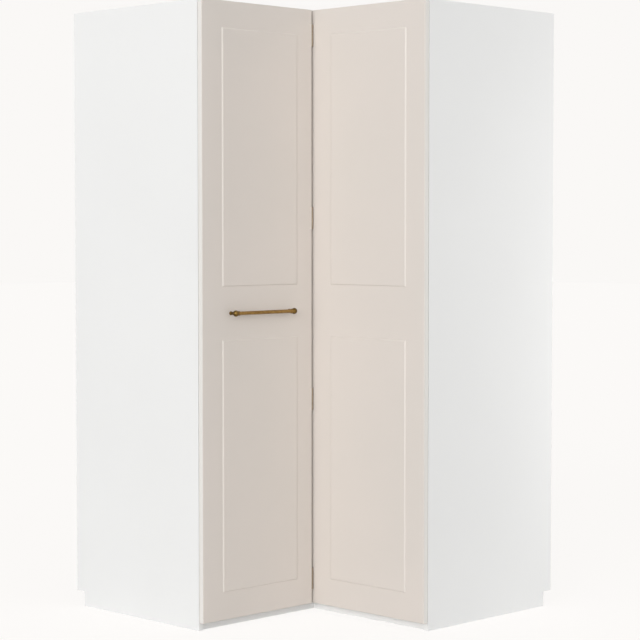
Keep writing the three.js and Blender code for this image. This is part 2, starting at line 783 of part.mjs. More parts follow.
function addHandle() {
  const along = [0, 1, 0];
  const neckTop = handleStandOff - Math.sqrt(ballRadius ** 2 - postRadius ** 2);
  // Each post is one piece with the screw that holds it from behind the leaf.
  const screwBack = -leafThickness - touch;
  const profile = [
    [0, screwBack - handleScrewHead],
    [handleScrewHeadRadius, screwBack - handleScrewHead],
    [handleScrewHeadRadius, screwBack],
    [handleScrewRadius, screwBack],
    [handleScrewRadius, touch],
    [rosetteRadius, touch],
    [rosetteRadius, touch + rosetteThickness / 2],
    [postRadius, touch + rosetteThickness],
    [postRadius, neckTop],
  ];
  const neckAngle = Math.asin(postRadius / ballRadius);
  for (let i = 1; i <= ballSteps; i += 1) {
    const angle = neckAngle + (Math.PI - neckAngle) * i / ballSteps;
    const radius = i === ballSteps ? 0 : ballRadius * Math.sin(angle);
    profile.push([radius, handleStandOff - ballRadius * Math.cos(angle)]);
  }
  const post = aim(turned(profile, handleSides), [1, 0, 0]);
  const barRoom = (direction) => rod(barRadius + touch, ballRadius + overrun, handleSides, [0, direction, 0],
    [handleStandOff, direction * (ballRadius - barSeatDepth - touch), 0]);
  const ends = [['outer', handleFarEnd, 1], ['inner', handleNearEnd, -1]];
  for (const [name, u, direction] of ends) {
    const seated = moved(cut(post, barRoom(direction)), 0, -u, handleHeight);
    add(leftLeafBody, `handle_post_${name}`, seated, agedBrass);
  }

  const start = ballRadius - barSeatDepth;
  const length = handleFarEnd - handleNearEnd - 2 * start;
  const collarStart = barSeatDepth + touch;
  const collarEnd = collarStart + barCollarLength;
  const bar = turned([
    [0, 0], [barRadius, 0],
    [barRadius, collarStart], [barCollarRadius, collarStart],
    [barCollarRadius, collarEnd], [barRadius, collarEnd],
    [barRadius, length - collarEnd], [barCollarRadius, length - collarEnd],
    [barCollarRadius, length - collarStart], [barRadius, length - collarStart],
    [barRadius, length], [0, length],
  ], handleSides);
  add(leftLeafBody, 'handle_bar', moved(aim(bar, along), handleStandOff, -handleFarEnd + start, handleHeight),
    agedBrass);
}

// Magnetic catch on the left side panel, and its strike plate on the left leaf

function addCatch() {
  const z = catchCentre;
  const strikeBack = leafThickness + touch;
  const faceDepth = strikeBack + strikeThickness + touch;
  const outline = [
    [boardEnd - catchWidth, faceDepth],
    [boardEnd - (catchWidth + catchSlot) / 2, faceDepth],
    [boardEnd - (catchWidth + catchSlot) / 2, faceDepth + catchSlotDepth],
    [boardEnd - (catchWidth - catchSlot) / 2, faceDepth + catchSlotDepth],
    [boardEnd - (catchWidth - catchSlot) / 2, faceDepth],
    [boardEnd, faceDepth],
    [boardEnd, faceDepth + catchDepth],
    [boardEnd - catchWidth, faceDepth + catchDepth],
  ];
  const body = extrudeAlong('z', outline, [z - catchHeight / 2, z + catchHeight / 2]);
  add(carcass, 'magnetic_catch', toLeftWing(body), whitePlastic);
  const centre = boardEnd - catchWidth / 2;
  const strike = wingBlock('left', [centre - strikeWidth / 2, centre + strikeWidth / 2],
    [strikeBack, strikeBack + strikeThickness], [z - strikeHeight / 2, z + strikeHeight / 2]);
  add(leftLeafBody, 'strike_plate', strike, nickel);
}

addSidePanels();
addBoards();
addPlinths();
addUprights();
addShelves();
addBackSheets();
addClothesRail();
addCupHinges();
addFoldHinges();
addLeaves();
addHandle();
addCatch();

export default wardrobe;
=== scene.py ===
"""A painted corner wardrobe with a folding pair of framed leaves, dressed for a studio picture.

The frame holds the wardrobe's pieces at their real size. This script gives each piece its finish,
makes the painted leaves, the brass handle, the hinges and the clothes rail again as finer pieces,
and adds the small things that the frame leaves out: screw heads, the bumpers' domes, spare pin
holes as dark discs with painted shade, and a painted highlight on each leaf's outer end. Metres, +Z
up.
"""
import json
import math

import bmesh
import bpy
from mathutils import Matrix, Vector

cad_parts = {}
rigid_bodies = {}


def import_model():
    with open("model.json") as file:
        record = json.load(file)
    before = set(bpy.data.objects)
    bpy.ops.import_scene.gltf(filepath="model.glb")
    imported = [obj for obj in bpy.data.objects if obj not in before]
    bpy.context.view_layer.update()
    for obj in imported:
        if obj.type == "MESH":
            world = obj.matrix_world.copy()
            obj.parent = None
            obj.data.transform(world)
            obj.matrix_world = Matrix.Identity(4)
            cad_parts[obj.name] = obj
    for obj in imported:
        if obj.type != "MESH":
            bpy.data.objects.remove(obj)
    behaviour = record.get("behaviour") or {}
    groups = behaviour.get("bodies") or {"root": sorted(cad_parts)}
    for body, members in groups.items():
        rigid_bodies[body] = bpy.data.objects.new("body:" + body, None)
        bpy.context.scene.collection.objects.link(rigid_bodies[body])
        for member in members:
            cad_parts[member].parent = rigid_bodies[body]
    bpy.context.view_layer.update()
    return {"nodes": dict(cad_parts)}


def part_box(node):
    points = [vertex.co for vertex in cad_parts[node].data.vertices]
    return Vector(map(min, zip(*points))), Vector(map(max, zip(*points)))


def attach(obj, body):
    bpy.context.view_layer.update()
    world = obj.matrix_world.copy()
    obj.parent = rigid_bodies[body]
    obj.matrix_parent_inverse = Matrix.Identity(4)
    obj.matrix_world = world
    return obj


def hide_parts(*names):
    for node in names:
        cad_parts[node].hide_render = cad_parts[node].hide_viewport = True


MM = 0.001

# Camera: a long lens a little above the handle, looking into the corner and slightly down
CAMERA_PLACE = (4.7092, -4.6708, 1.3026)
CAMERA_HEADING = math.radians(135.058)
CAMERA_DIP = 0.04925
CAMERA_LENS = 109.72
CAMERA_SENSOR = 36.0

# Light: an even pale room, a broad key from the front right, a weak fill from the right, and a
# tall soft lamp behind the right side
BACKGROUND = "#FAF8F6"
ROOM_COLOUR = "#FFFFFF"
ROOM_STRENGTH = 0.424
KEY_FROM = (0.45, -0.85, 0.12)
KEY_STRENGTH = 2.48
KEY_SPREAD = math.radians(50)
FILL_FROM = (0.9, -0.3, 0.1)
FILL_STRENGTH = 0.4
FILL_SPREAD = math.radians(60)
REAR_LAMP_PLACE = (1.15, 1.15, 1.0)
REAR_LAMP_TARGET = (0.57, 0.45, 1.0)
REAR_LAMP_SIZE = (0.5, 1.9)
REAR_LAMP_POWER = 3.5
FLOOR_COLOUR = "#E4E4E3"
FLOOR_SHARE = 0.14
FLOOR_GLOW = 0.93
FLOOR_SIZE = 60.0

# Surfaces: how far the noises break up, the part of a noise that the two tones are spread over,
# and where a Mix node has its colours
TONE_DETAIL = 3.0
TONE_SPREAD = (0.3, 0.7)
GRAIN_DETAIL = 2.0
MIX_INPUTS = (6, 7)
MIX_OUTPUT = 2

# Meshes: when two points are one, when a face counts as flat, and how corners are eased
SAME_POINT = 1e-6
FLAT_NORMAL = 0.99999
ROUND_STEPS = 8
EDGE_SEGMENTS = 2
EDGE_ANGLE = math.radians(50)
METAL_CREASE = math.radians(35)

# Boards and shelves, and how far a cutter runs past what it cuts
BOARD = 18 * MM
SHELVES = range(1, 5)
CUT_PAST = 18 * MM

# Painted leaves. A leaf's front is a grid, and its fields stand in one column and two rows.
FIELD_RISE = 3 * MM
FIELD_BEVEL = 8 * MM
FIELD_STEPS = 18
FIELD_COLUMN = 1
FIELD_ROWS = (1, 3)
ARRIS = 2 * MM
ARRIS_STEPS = 8
BACK_ARRIS = 0.5 * MM
# The painted highlight on a leaf's outer end: how deep its skin sits and how far it stands out
END_HIGHLIGHT_ROOT = 0.4 * MM
END_HIGHLIGHT_SKIN = 0.06 * MM
LEAF_THICKNESS = 19 * MM
BOTTOM_RAIL = 88 * MM
TOP_RAIL = 83 * MM
MIDDLE_RAIL_LOW = 932.5 * MM
MIDDLE_RAIL = 166.5 * MM
STILES = {"right": (97 * MM, 77 * MM), "left": (66.5 * MM, 82 * MM)}
LEAF_CREASE = math.radians(20)
BORE_SIDES = 64

# Bumpers on the leaves' backs
BUMPER_RADIUS = 5 * MM
BUMPER_RISE = 1.7 * MM
BUMPER_ROOT = 0.6 * MM
BUMPER_FROM_CORNER = 40 * MM
BUMPER_FROM_END = 40 * MM
BUMPER_STEPS = 8
BUMPER_SIDES = 32
BUMPER_CREASE = math.radians(50)

# Handle
POST_ENDS = ("outer", "inner")
BALL_RADIUS = 10 * MM
BALL_STEPS = 28
BAR_RADIUS = 6 * MM
COLLAR_RADIUS = 7.5 * MM
COLLAR_LENGTH = 5 * MM
COLLAR_ROUND = 1.2 * MM
COLLAR_STEPS = 6
BAR_SEAT = 5 * MM
POST_RADIUS = 5 * MM
POST_FOOT = 0.6 * MM
ROSETTE_RADIUS = 6.5 * MM
ROSETTE_THICKNESS = 3 * MM
SEAT_GAP = 0.3 * MM
HANDLE_SCREW_HEAD = 4 * MM
HANDLE_SCREW_DEPTH = 2.4 * MM
HANDLE_SCREW_EASE = 0.4 * MM
HANDLE_SCREW_RADIUS = 2 * MM
HANDLE_BORE = 2.3 * MM
HANDLE_SIDES = 64

# Concealed hinges. The arm's roundings run from its front root round the nose to its rear root.
HINGES = range(1, 5)
CUP_BORE = 17.8 * MM
CUP_BORE_DEPTH = 12.8 * MM
CUP_SIDES = 64
CUP_RADIUS = 17.5 * MM
CUP_WALL = 1.3 * MM
CUP_ROOT = 1.5 * CUP_WALL
CUP_ROOT_STEPS = 5
CUP_LIP_STEPS = 4
CUP_FLANGE_RADIUS = 19 * MM
CUP_FLANGE = 1.2 * MM
CUP_DEPTH = 12.5 * MM
CUP_WING_HALF = 31 * MM
CUP_WING_WIDTH = 13 * MM
CUP_WING_ROUND = CUP_WING_WIDTH / 2 - 1 * MM
CUP_SCREW_HALF = 24 * MM
CUP_SCREW_BACK = 9.5 * MM
CUP_AXLE_RADIUS = 1.4 * MM
CUP_AXLE_SIDES = 20
CUP_AXLES = ((8.5 * MM, 7.5 * MM), (2.5 * MM, 4.5 * MM))
PLATE_SCREW_HALF = 16 * MM
PLATE_THICKNESS = 3 * MM
PLATE_WING_HALF = 26 * MM
PLATE_WING_WIDTH = 17 * MM
PLATE_WING_ROUND = 5 * MM
PLATE_LENGTH = 52 * MM
SPINE_HALF = 8 * MM
SPINE_ROUND = 3 * MM
SPINE_INSET = 0.4 * MM
SPINE_DROP = 0.2 * MM
RIDGE_HEIGHT = 8 * MM
RIDGE_HALF = 6 * MM
RIDGE_ROUND = 2.5 * MM
ARM_DEPTH = 16 * MM
ARM_TAIL_DEPTH = 12.5 * MM
ARM_TAIL = 20 * MM
ARM_HALF = 8 * MM
ARM_WALL = 1.5 * MM
ARM_NOSE = 18 * MM
ARM_ROUNDINGS = (0.5 * MM, 7 * MM, 8 * MM, 3 * MM, 0.5 * MM)
ARM_SCREWS = (26 * MM, 44 * MM)
PRESSED_EDGE = 0.35 * MM

# Knuckle hinges
KNUCKLE_RADIUS = 4.5 * MM
KNUCKLE_BORE = 2.3 * MM
KNUCKLE_LENGTH = 14 * MM
KNUCKLE_COUNT = 5
KNUCKLE_STEPS = 28
FOLD_PLATE = 1.6 * MM
FOLD_PLATE_REACH = 14 * MM
FOLD_PLATE_ROUNDINGS = (0.3 * MM, 2 * MM, 2 * MM, 0.3 * MM)
FOLD_PIN_RADIUS = 2 * MM
FOLD_PIN_HEAD_RADIUS = 2.9 * MM
FOLD_PIN_HEAD = 1.2 * MM
FOLD_PIN_HEAD_STEPS = 6
FOLD_SIDES = 32

# Clothes rail
RAIL_WALL = 1.2 * MM
RAIL_STEPS = 16
RAIL_SOCKET_BASE = 3 * MM
RAIL_SOCKET_MARGIN = 7 * MM
RAIL_SOCKET_COLLAR = 12 * MM
RAIL_SOCKET_WALL = 2.7 * MM
RAIL_HANGER_PLATE = 3 * MM
RAIL_HANGER_PLATE_ROUND = 5 * MM
RAIL_HANGER_STEM = 4 * MM
RAIL_HANGER_STEM_SIDES = 32
RAIL_HANGER_STRAP_HALF = RAIL_SOCKET_WALL * 3

# Screws, shelf pins and holes. A head's flat top and its recess are shares of the head's size.
HEAD_RADIUS = 3.3 * MM
HEAD_RISE = 0.95 * MM
HEAD_SIDES = 28
HEAD_FLAT = 0.72
RECESS_LENGTH = 1.05
RECESS_WIDTH = 0.27
RECESS_DEPTH = 0.9
SCREW_DOME = 0.5 * MM
FOLD_SCREW_SHARE = 0.31
STUD_SIDES = 20
PIN_RADIUS = 2.6 * MM
PIN_PROUD = 8.1 * MM
PIN_CHAMFER = 0.6 * MM
PIN_BELOW_SHELF = 2.8 * MM
PIN_ROW_FRONT = 58 * MM
PIN_ROW_REAR = 560 * MM
HOLE_RADIUS = 2.5 * MM
HOLE_SKIN = 0.08 * MM
HOLE_CHAMFER = HOLE_SKIN / 4
HOLE_PITCH = 32 * MM
HOLES_EACH_WAY = 2
BACK_SCREW_RADIUS = 3.6 * MM
BACK_SCREW_RISE = 1.1 * MM
BACK_SCREW_PITCH = 130 * MM
BACK_SCREW_FROM_EDGE = 22 * MM

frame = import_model()
nodes = frame["nodes"]

# The leaf fronts meet over this corner. In a wing, u runs along the leaf front from the corner,
# and v is the depth behind that front.
CORNER_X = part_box("left_leaf")[1].x - FIELD_RISE
CORNER_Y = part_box("right_leaf")[0].y + FIELD_RISE
LEAF_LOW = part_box("right_leaf")[0].z
LEAF_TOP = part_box("right_leaf")[1].z


def wing(side, u, v, z):
    """A point of one wing in the frame's axes."""
    if side == "right":
        return Vector((CORNER_X + u, CORNER_Y + v, z))
    return Vector((CORNER_X - v, CORNER_Y - u, z))


def box_centre(name):
    """The middle of a node's box."""
    low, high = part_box(name)
    return (low + high) / 2


def leaf_span(side):
    """Where a leaf starts and ends along its wing."""
    low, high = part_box(f"{side}_leaf")
    if side == "right":
        return low.x - CORNER_X, high.x - CORNER_X
    return CORNER_Y - high.y, CORNER_Y - low.y


# Materials


def linear(colour):
    """An sRGB hex colour as linear values with full alpha."""
    parts = [int(colour[i : i + 2], 16) / 255 for i in (1, 3, 5)]
    return [p / 12.92 if p <= 0.04045 else ((p + 0.055) / 1.055) ** 2.4 for p in parts] + [1.0]


def add_node(tree, kind, inputs=None, **settings):
    """Adds a node. An input takes a value or another node's socket, and settings are properties."""
    made = tree.nodes.new(kind)
    for name, value in settings.items():
        setattr(made, name, value)
    for key, value in (inputs or {}).items():
        if isinstance(value, bpy.types.NodeSocket):
            tree.links.new(value, made.inputs[key])
        else:
            made.inputs[key].default_value = value
    return made


def finish(
    name, tones, tone_size, roughness, grain_size, grain_height, squeeze=(1, 1, 1), **shader
):
    """A surface that drifts between two tones and two roughnesses, with a fine relief.

    Sizes are in metres, and squeeze draws the pattern together along an axis.
    """
    made = bpy.data.materials.new(name)
    made.use_nodes = True
    tree = made.node_tree
    tree.nodes.clear()
    place = add_node(tree, "ShaderNodeTexCoord").outputs["Object"]
    drawn = add_node(
        tree, "ShaderNodeMapping", {"Vector": place, "Scale": squeeze}).outputs["Vector"]
    tone = add_node(
        tree,
        "ShaderNodeTexNoise",
        {"Vector": drawn, "Scale": 1 / tone_size, "Detail": TONE_DETAIL},
    )
    share = add_node(
        tree,
        "ShaderNodeMapRange",
        {"Value": tone.outputs["Fac"], "From Min": TONE_SPREAD[0], "From Max": TONE_SPREAD[1]},
    ).outputs["Result"]
    colour = add_node(
        tree,
        "ShaderNodeMix",
        {"Factor": share, MIX_INPUTS[0]: linear(tones[0]), MIX_INPUTS[1]: linear(tones[1])},
        data_type="RGBA",
    ).outputs[MIX_OUTPUT]
    gloss = add_node(
        tree,
        "ShaderNodeMapRange",
        {"Value": share, "To Min": roughness[0], "To Max": roughness[1]},
    ).outputs["Result"]
    grain = add_node(
        tree,
        "ShaderNodeTexNoise",
        {"Vector": drawn, "Scale": 1 / grain_size, "Detail": GRAIN_DETAIL},
    )
    relief = add_node(
        tree,
        "ShaderNodeBump",
        {"Height": grain.outputs["Fac"], "Distance": grain_height, "Strength": 1.0},
    ).outputs["Normal"]
    surface = add_node(
        tree,
        "ShaderNodeBsdfPrincipled",
        {"Base Color": colour, "Roughness": gloss, "Normal": relief, **shader},
    )
    add_node(tree, "ShaderNodeOutputMaterial", {"Surface": surface.outputs["BSDF"]})
    return made


# Sprayed satin lacquer on MDF: an even warm grey with a soft sheen and a faint orange peel.
# The real peel is about 1.5 mm, drawn at 6 mm so that it shows.
lacquered_mdf = finish(
    "satin_lacquered_mdf", ("#DAD3CC", "#DDD5CE"),
    0.35, (0.40, 0.46), 6 * MM, 0.02 * MM, IOR=1.5)

# The same lacquer, lighter, on a skin over a leaf's outer end: a painted highlight where that end
# catches the light.
painted_end_highlight = finish(
    "lacquer_with_painted_end_highlight", ("#EAE7E2", "#ECE9E4"),
    0.35, (0.40, 0.46), 6 * MM, 0.02 * MM, IOR=1.5)

# Melamine-faced chipboard, pressed with a fine pearl texture: a clean warm white, matt.
melamine_board = finish(
    "melamine_faced_chipboard", ("#F1F1F0", "#F3F3F2"),
    0.5, (0.66, 0.74), 3 * MM, 0.03 * MM, IOR=1.5)

# Thin fibreboard with a printed white foil: flatter and slightly greyer than the boards.
foil_fibreboard = finish(
    "foil_faced_fibreboard", ("#E9E9E7", "#ECECEA"),
    0.25, (0.58, 0.66), 4 * MM, 0.05 * MM, IOR=1.45)

# Aged brass, turned and toned by hand: golden brown with darker breaks in the patina.
aged_brass = finish(
    "aged_turned_brass", ("#86683A", "#A58650"),
    18 * MM, (0.30, 0.44), 1.2 * MM, 0.01 * MM, Metallic=1.0)

# The same brass on the turned posts, darker all over with a noise: partly a heavier patina, partly
# painted dark reflections on the balls.
patina_and_reflection_brass = finish(
    "turned_brass_patina_and_painted_reflection", ("#5A4724", "#826737"),
    7 * MM, (0.30, 0.46), 1.2 * MM, 0.01 * MM, Metallic=1.0)

# Bronzed steel from a warm dip: a light brown metal with an uneven, dull gloss.
bronzed_steel = finish(
    "bronzed_steel", ("#8C7F70", "#9E9182"),
    12 * MM, (0.38, 0.50), 1.0 * MM, 0.01 * MM, Metallic=1.0)

# Pressed steel with bright nickel plating: pale grey metal, soft along the rolling direction.
nickel_plate = finish(
    "nickel_plated_steel", ("#B9BBBC", "#BFC1C2"),
    40 * MM, (0.27, 0.31), 1.5 * MM, 0.003 * MM,
    squeeze=(1, 1, 4), Metallic=1.0)

# Chromed steel tube: nearly a mirror, with the faint drawing lines along the tube.
chromed_tube = finish(
    "chromed_steel_tube", ("#CFD2D5", "#D6D9DB"),
    30 * MM, (0.08, 0.15), 1.5 * MM, 0.004 * MM,
    squeeze=(6, 1, 6), Metallic=1.0)

# Moulded ABS: clean white with a low moulded grain.
moulded_abs = finish(
    "moulded_abs", ("#E7E7E4", "#EAEAE7"),
    0.06, (0.34, 0.42), 0.8 * MM, 0.02 * MM, IOR=1.54)

# Soft silicone: milky, half clear and slightly dull.
milky_silicone = finish(
    "milky_silicone", ("#D6D5D0", "#DEDDD8"),
    8 * MM, (0.45, 0.55), 0.6 * MM, 0.01 * MM, IOR=1.43)

# Dark discs laid on the board where holes are drilled: partly the open chipboard core, dark and
# rough with pale brown chips, partly painted shade inside the hole.
hole_core_and_painted_shade = finish(
    "chipboard_core_and_painted_hole_shade", ("#3A322A", "#6B5C4A"),
    1.2 * MM, (0.8, 0.95), 0.5 * MM, 0.2 * MM, IOR=1.45)

# Each kind of node by the start of its name, and its finish
BOARD_NODES = (
    "side_panel", "bottom_board", "top_board", "hat_shelf", "plinth", "rear_bearer",
    "rear_corner_post", "partition", "rail_batten", "back_batten", "shelf",
)
NODE_FINISHES = {
    **dict.fromkeys(BOARD_NODES, melamine_board),
    "back_sheet": foil_fibreboard,
    "back_joint_strip": moulded_abs,
    "clothes_rail": chromed_tube,
    "rail_socket": chromed_tube,
    "rail_centre_hanger": chromed_tube,
    "hinge": nickel_plate,
    "magnetic_catch": moulded_abs,
    "strike_plate": nickel_plate,
    "fold_hinge": bronzed_steel,
    "left_leaf": lacquered_mdf,
    "right_leaf": lacquered_mdf,
    "handle": aged_brass,
}


def dress_nodes():
    """Gives each node the finish of its kind."""
    for name, obj in nodes.items():
        kind = next(k for k in NODE_FINISHES if name.startswith(k))
        obj.data.materials.clear()
        obj.data.materials.append(NODE_FINISHES[kind])


# Mesh helpers


def link_piece(name, mesh, finish_material, body):
    """Puts a finished mesh in the scene as a piece that rides on a body."""
    obj = bpy.data.objects.new(name, mesh)
    bpy.context.scene.collection.objects.link(obj)
    mesh.materials.clear()
    mesh.materials.append(finish_material)
    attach(obj, body)
    return obj


def close_mesh(bm, name):
    """Merges shared corners, turns the faces outwards and returns the mesh."""
    bmesh.ops.remove_doubles(bm, verts=bm.verts, dist=SAME_POINT)
    bmesh.ops.recalc_face_normals(bm, faces=bm.faces)
    mesh = bpy.data.meshes.new(name)
    bm.to_mesh(mesh)
    bm.free()
    return mesh


def soften(mesh, angle):
    """Shades the curved faces smooth up to an angle, and leaves the flat board faces flat."""
    for face in mesh.polygons:
        face.use_smooth = max(abs(c) for c in face.normal) < FLAT_NORMAL
    mesh.set_sharp_from_angle(angle=angle)


def add_turned(bm, profile, start, direction, sides):
    """Adds a turned shape: the profile's pairs are a radius and a place along the direction."""
    turn = Vector((0, 0, 1)).rotation_difference(Vector(direction)).to_matrix()
    rings = []
    for radius, along in profile:
        count = 1 if radius == 0 else sides
        ring = []
        for k in range(count):
            angle = 2 * math.pi * k / count
            point = Vector((radius * math.cos(angle), radius * math.sin(angle), along))
            ring.append(bm.verts.new(Vector(start) + turn @ point))
        rings.append(ring)
    for low, high in zip(rings, rings[1:]):
        for k in range(sides):
            corners = [
                low[k % len(low)],
                low[(k + 1) % len(low)],
                high[(k + 1) % len(high)],
                high[k % len(high)],
            ]
            corners = list(dict.fromkeys(corners))
            if len(corners) > 2:
                bm.faces.new(corners)


def arc(centre, radius, start, end, steps):
    """Points on a profile's arc, as (radius, along) pairs."""
    angles = [start + (end - start) * i / steps for i in range(steps + 1)]
    return [(centre[0] + radius * math.cos(a), centre[1] + radius * math.sin(a)) for a in angles]


def dome(radius, base, rise, steps):
    """Points on a profile from a dome's rim to its top on the axis, as (radius, along) pairs."""
    points = []
    for i in range(steps + 1):
        angle = math.pi / 2 * i / steps
        points.append((radius * math.cos(angle), base + rise * math.sin(angle)))
    points[-1] = (0, base + rise)
    return points


def rod(radius, start, end):
    """A plain cylinder's profile, as (radius, along) pairs."""
    return [(0, start), (radius, start), (radius, end), (0, end)]


def prism(outline, levels, place):
    """A closed prism: an outline drawn between two levels, with a function that places a point."""
    bm = bmesh.new()
    rings = [[bm.verts.new(place(a, b, level)) for a, b in outline] for level in levels]
    for k in range(len(outline)):
        after = (k + 1) % len(outline)
        bm.faces.new([rings[0][k], rings[0][after], rings[1][after], rings[1][k]])
    for ring in rings:
        bm.faces.new(ring)
    return close_mesh(bm, "prism")


def turned(profile, start, direction, sides):
    """A closed turned shape."""
    bm = bmesh.new()
    add_turned(bm, profile, start, direction, sides)
    return close_mesh(bm, "turned")


def rounded(corners, radii):
    """An outline with its corners rounded: one radius for all corners, or one for each."""
    if not isinstance(radii, tuple):
        radii = [radii] * len(corners)
    outline = []
    for k, radius in enumerate(radii):
        corner = Vector(corners[k])
        before = (Vector(corners[k - 1]) - corner).normalized()
        after = (Vector(corners[(k + 1) % len(corners)]) - corner).normalized()
        half = before.angle(after) / 2
        centre = corner + (before + after).normalized() * radius / math.sin(half)
        start = corner + before * radius / math.tan(half) - centre
        end = corner + after * radius / math.tan(half) - centre
        first = math.atan2(start.y, start.x)
        turn = (math.atan2(end.y, end.x) - first + math.pi) % (2 * math.pi) - math.pi
        for i in range(ROUND_STEPS + 1):
            angle = first + turn * i / ROUND_STEPS
            outline.append(
                (centre.x + radius * math.cos(angle), centre.y + radius * math.sin(angle)))
    return outline


def rectangle(low, high):
    """A rectangle's corners in turn, from its low corner to its high one."""
    return [(low[0], low[1]), (high[0], low[1]), (high[0], high[1]), (low[0], high[1])]


def combine(base, *steps, edge=0):
    """Joins or cuts closed meshes in turn, each step an operation and a mesh, then eases edges."""
    scene_objects = bpy.context.scene.collection.objects
    obj = bpy.data.objects.new("combined", base)
    scene_objects.link(obj)
    tools = []
    for operation, mesh in steps:
        tool = bpy.data.objects.new("tool", mesh)
        scene_objects.link(tool)
        tools.append(tool)
        modifier = obj.modifiers.new("combine", "BOOLEAN")
        modifier.operation = operation
        modifier.solver = "EXACT"
        modifier.object = tool
    if edge:
        bevel = obj.modifiers.new("edge", "BEVEL")
        bevel.width = edge
        bevel.segments = EDGE_SEGMENTS
        bevel.limit_method = "ANGLE"
        bevel.angle_limit = EDGE_ANGLE
    bpy.context.view_layer.update()
    graph = bpy.context.evaluated_depsgraph_get()
    result = bpy.data.meshes.new_from_object(obj.evaluated_get(graph))
    for done in (obj, *tools):
        bpy.data.objects.remove(done)
    return result


def set_copies(kind, mesh, heights, finish_material, body):
    """Sets a shape, made at height zero, at each hinge's height and in place of the node there."""
    soften(mesh, METAL_CREASE)
    for i, height in zip(HINGES, heights):
        name = f"{kind}_{i}"
        placed = mesh.copy()
        placed.transform(Matrix.Translation((0, 0, height)))
        piece = link_piece(f"{name}_fine", placed, finish_material, body)
        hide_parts(name)


# Leaves


def rectangle_loop(us, zs, inset):
    """The points round a rectangle's edge that its grid lines meet, drawn in by the inset."""
    us = [us[0] + inset, *us[1:-1], us[-1] - inset]
    zs = [zs[0] + inset, *zs[1:-1], zs[-1] - inset]
    loop = [(u, zs[0]) for u in us] + [(us[-1], z) for z in zs[1:]]
    loop += [(u, zs[-1]) for u in reversed(us[:-1])]
    return loop + [(us[0], z) for z in reversed(zs[1:-1])]


def add_bands(bm, side, us, zs, rings):
    """Joins stacked rectangles, each an inset and a depth, and returns the last one's points."""
    previous = None
    for inset, v in rings:
        ring = [bm.verts.new(wing(side, u, v, z)) for u, z in rectangle_loop(us, zs, inset)]
        if previous:
            for k in range(len(ring)):
                nearest = (k + 1) % len(ring)
                bm.faces.new([previous[k], previous[nearest], ring[nearest], ring[k]])
        previous = ring
    return previous


def add_front(bm, side, us, zs):
    """The flat frame between the fields, as a grid of faces."""
    us = [us[0] + ARRIS, *us[1:-1], us[-1] - ARRIS]
    zs = [zs[0] + ARRIS, *zs[1:-1], zs[-1] - ARRIS]
    for i in range(len(us) - 1):
        for j in range(len(zs) - 1):
            if i == FIELD_COLUMN and j in FIELD_ROWS:
                continue
            corners = rectangle((us[i], zs[j]), (us[i + 1], zs[j + 1]))
            bm.faces.new([bm.verts.new(wing(side, u, 0, z)) for u, z in corners])


def add_field(bm, side, span, rise):
    """A raised field: a soft ogee all round and a flat face."""
    rings = []
    for i in range(FIELD_STEPS + 1):
        share = i / FIELD_STEPS
        lift = share - math.sin(2 * math.pi * share) / (2 * math.pi)
        rings.append((FIELD_BEVEL * share, -FIELD_RISE * lift))
    bm.faces.new(add_bands(bm, side, span, rise, rings))


def add_cylinder(bm, radius, start, direction, length, sides):
    """Adds a plain cylinder."""
    add_turned(bm, rod(radius, 0, length), start, direction, sides)


def leaf_bores(side):
    """What is drilled out of a leaf: the hinge cups' bores, or the handle screws' holes."""
    bm = bmesh.new()
    if side == "right":
        for i in HINGES:
            centre = box_centre(f"hinge_cup_{i}")
            start = (centre.x, CORNER_Y + LEAF_THICKNESS - CUP_BORE_DEPTH, centre.z)
            add_cylinder(bm, CUP_BORE, start, (0, 1, 0), 2 * CUP_BORE_DEPTH, BORE_SIDES)
    else:
        for end in POST_ENDS:
            centre = box_centre(f"handle_post_{end}")
            start = (CORNER_X - 2 * LEAF_THICKNESS, centre.y, centre.z)
            add_cylinder(bm, HANDLE_BORE, start, (1, 0, 0), 3 * LEAF_THICKNESS, BORE_SIDES)
    return close_mesh(bm, f"{side}_leaf_bores")


def make_leaf(side):
    """One painted leaf: rounded front edge, flat frame, two raised fields and drilled bores."""
    inner, outer = STILES[side]
    start, end = leaf_span(side)
    us = [start, start + inner, end - outer, end]
    zs = [
        LEAF_LOW,
        LEAF_LOW + BOTTOM_RAIL,
        MIDDLE_RAIL_LOW,
        MIDDLE_RAIL_LOW + MIDDLE_RAIL,
        LEAF_TOP - TOP_RAIL,
        LEAF_TOP,
    ]
    bm = bmesh.new()
    rings = []
    for i in range(ARRIS_STEPS + 1):
        angle = math.pi / 2 * i / ARRIS_STEPS
        rings.append((ARRIS * (1 - math.sin(angle)), ARRIS * (1 - math.cos(angle))))
    rings += [(0, LEAF_THICKNESS - BACK_ARRIS), (BACK_ARRIS, LEAF_THICKNESS)]
    bm.faces.new(add_bands(bm, side, us, zs, rings))
    add_front(bm, side, us, zs)
    for row in FIELD_ROWS:
        add_field(bm, side, us[FIELD_COLUMN : FIELD_COLUMN + 2], zs[row : row + 2])
    mesh = combine(close_mesh(bm, f"{side}_leaf"), ("DIFFERENCE", leaf_bores(side)))
    soften(mesh, LEAF_CREASE)
    piece = link_piece(f"{side}_leaf_painted", mesh, lacquered_mdf, f"{side}_leaf")
    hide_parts(f"{side}_leaf")


def make_end_highlight(side):
    """A painted highlight: a paler skin over a leaf's outer end, between its rounded edges."""
    end = leaf_span(side)[1]
    mesh = prism(
        rectangle((ARRIS, LEAF_LOW + ARRIS), (LEAF_THICKNESS - 2 * BACK_ARRIS, LEAF_TOP - ARRIS)),
        (end - END_HIGHLIGHT_ROOT, end + END_HIGHLIGHT_SKIN),
        lambda a, b, level: wing(side, level, a, b),
    )
    soften(mesh, LEAF_CREASE)
    link_piece(f"{side}_leaf_end_highlight", mesh, painted_end_highlight, f"{side}_leaf")


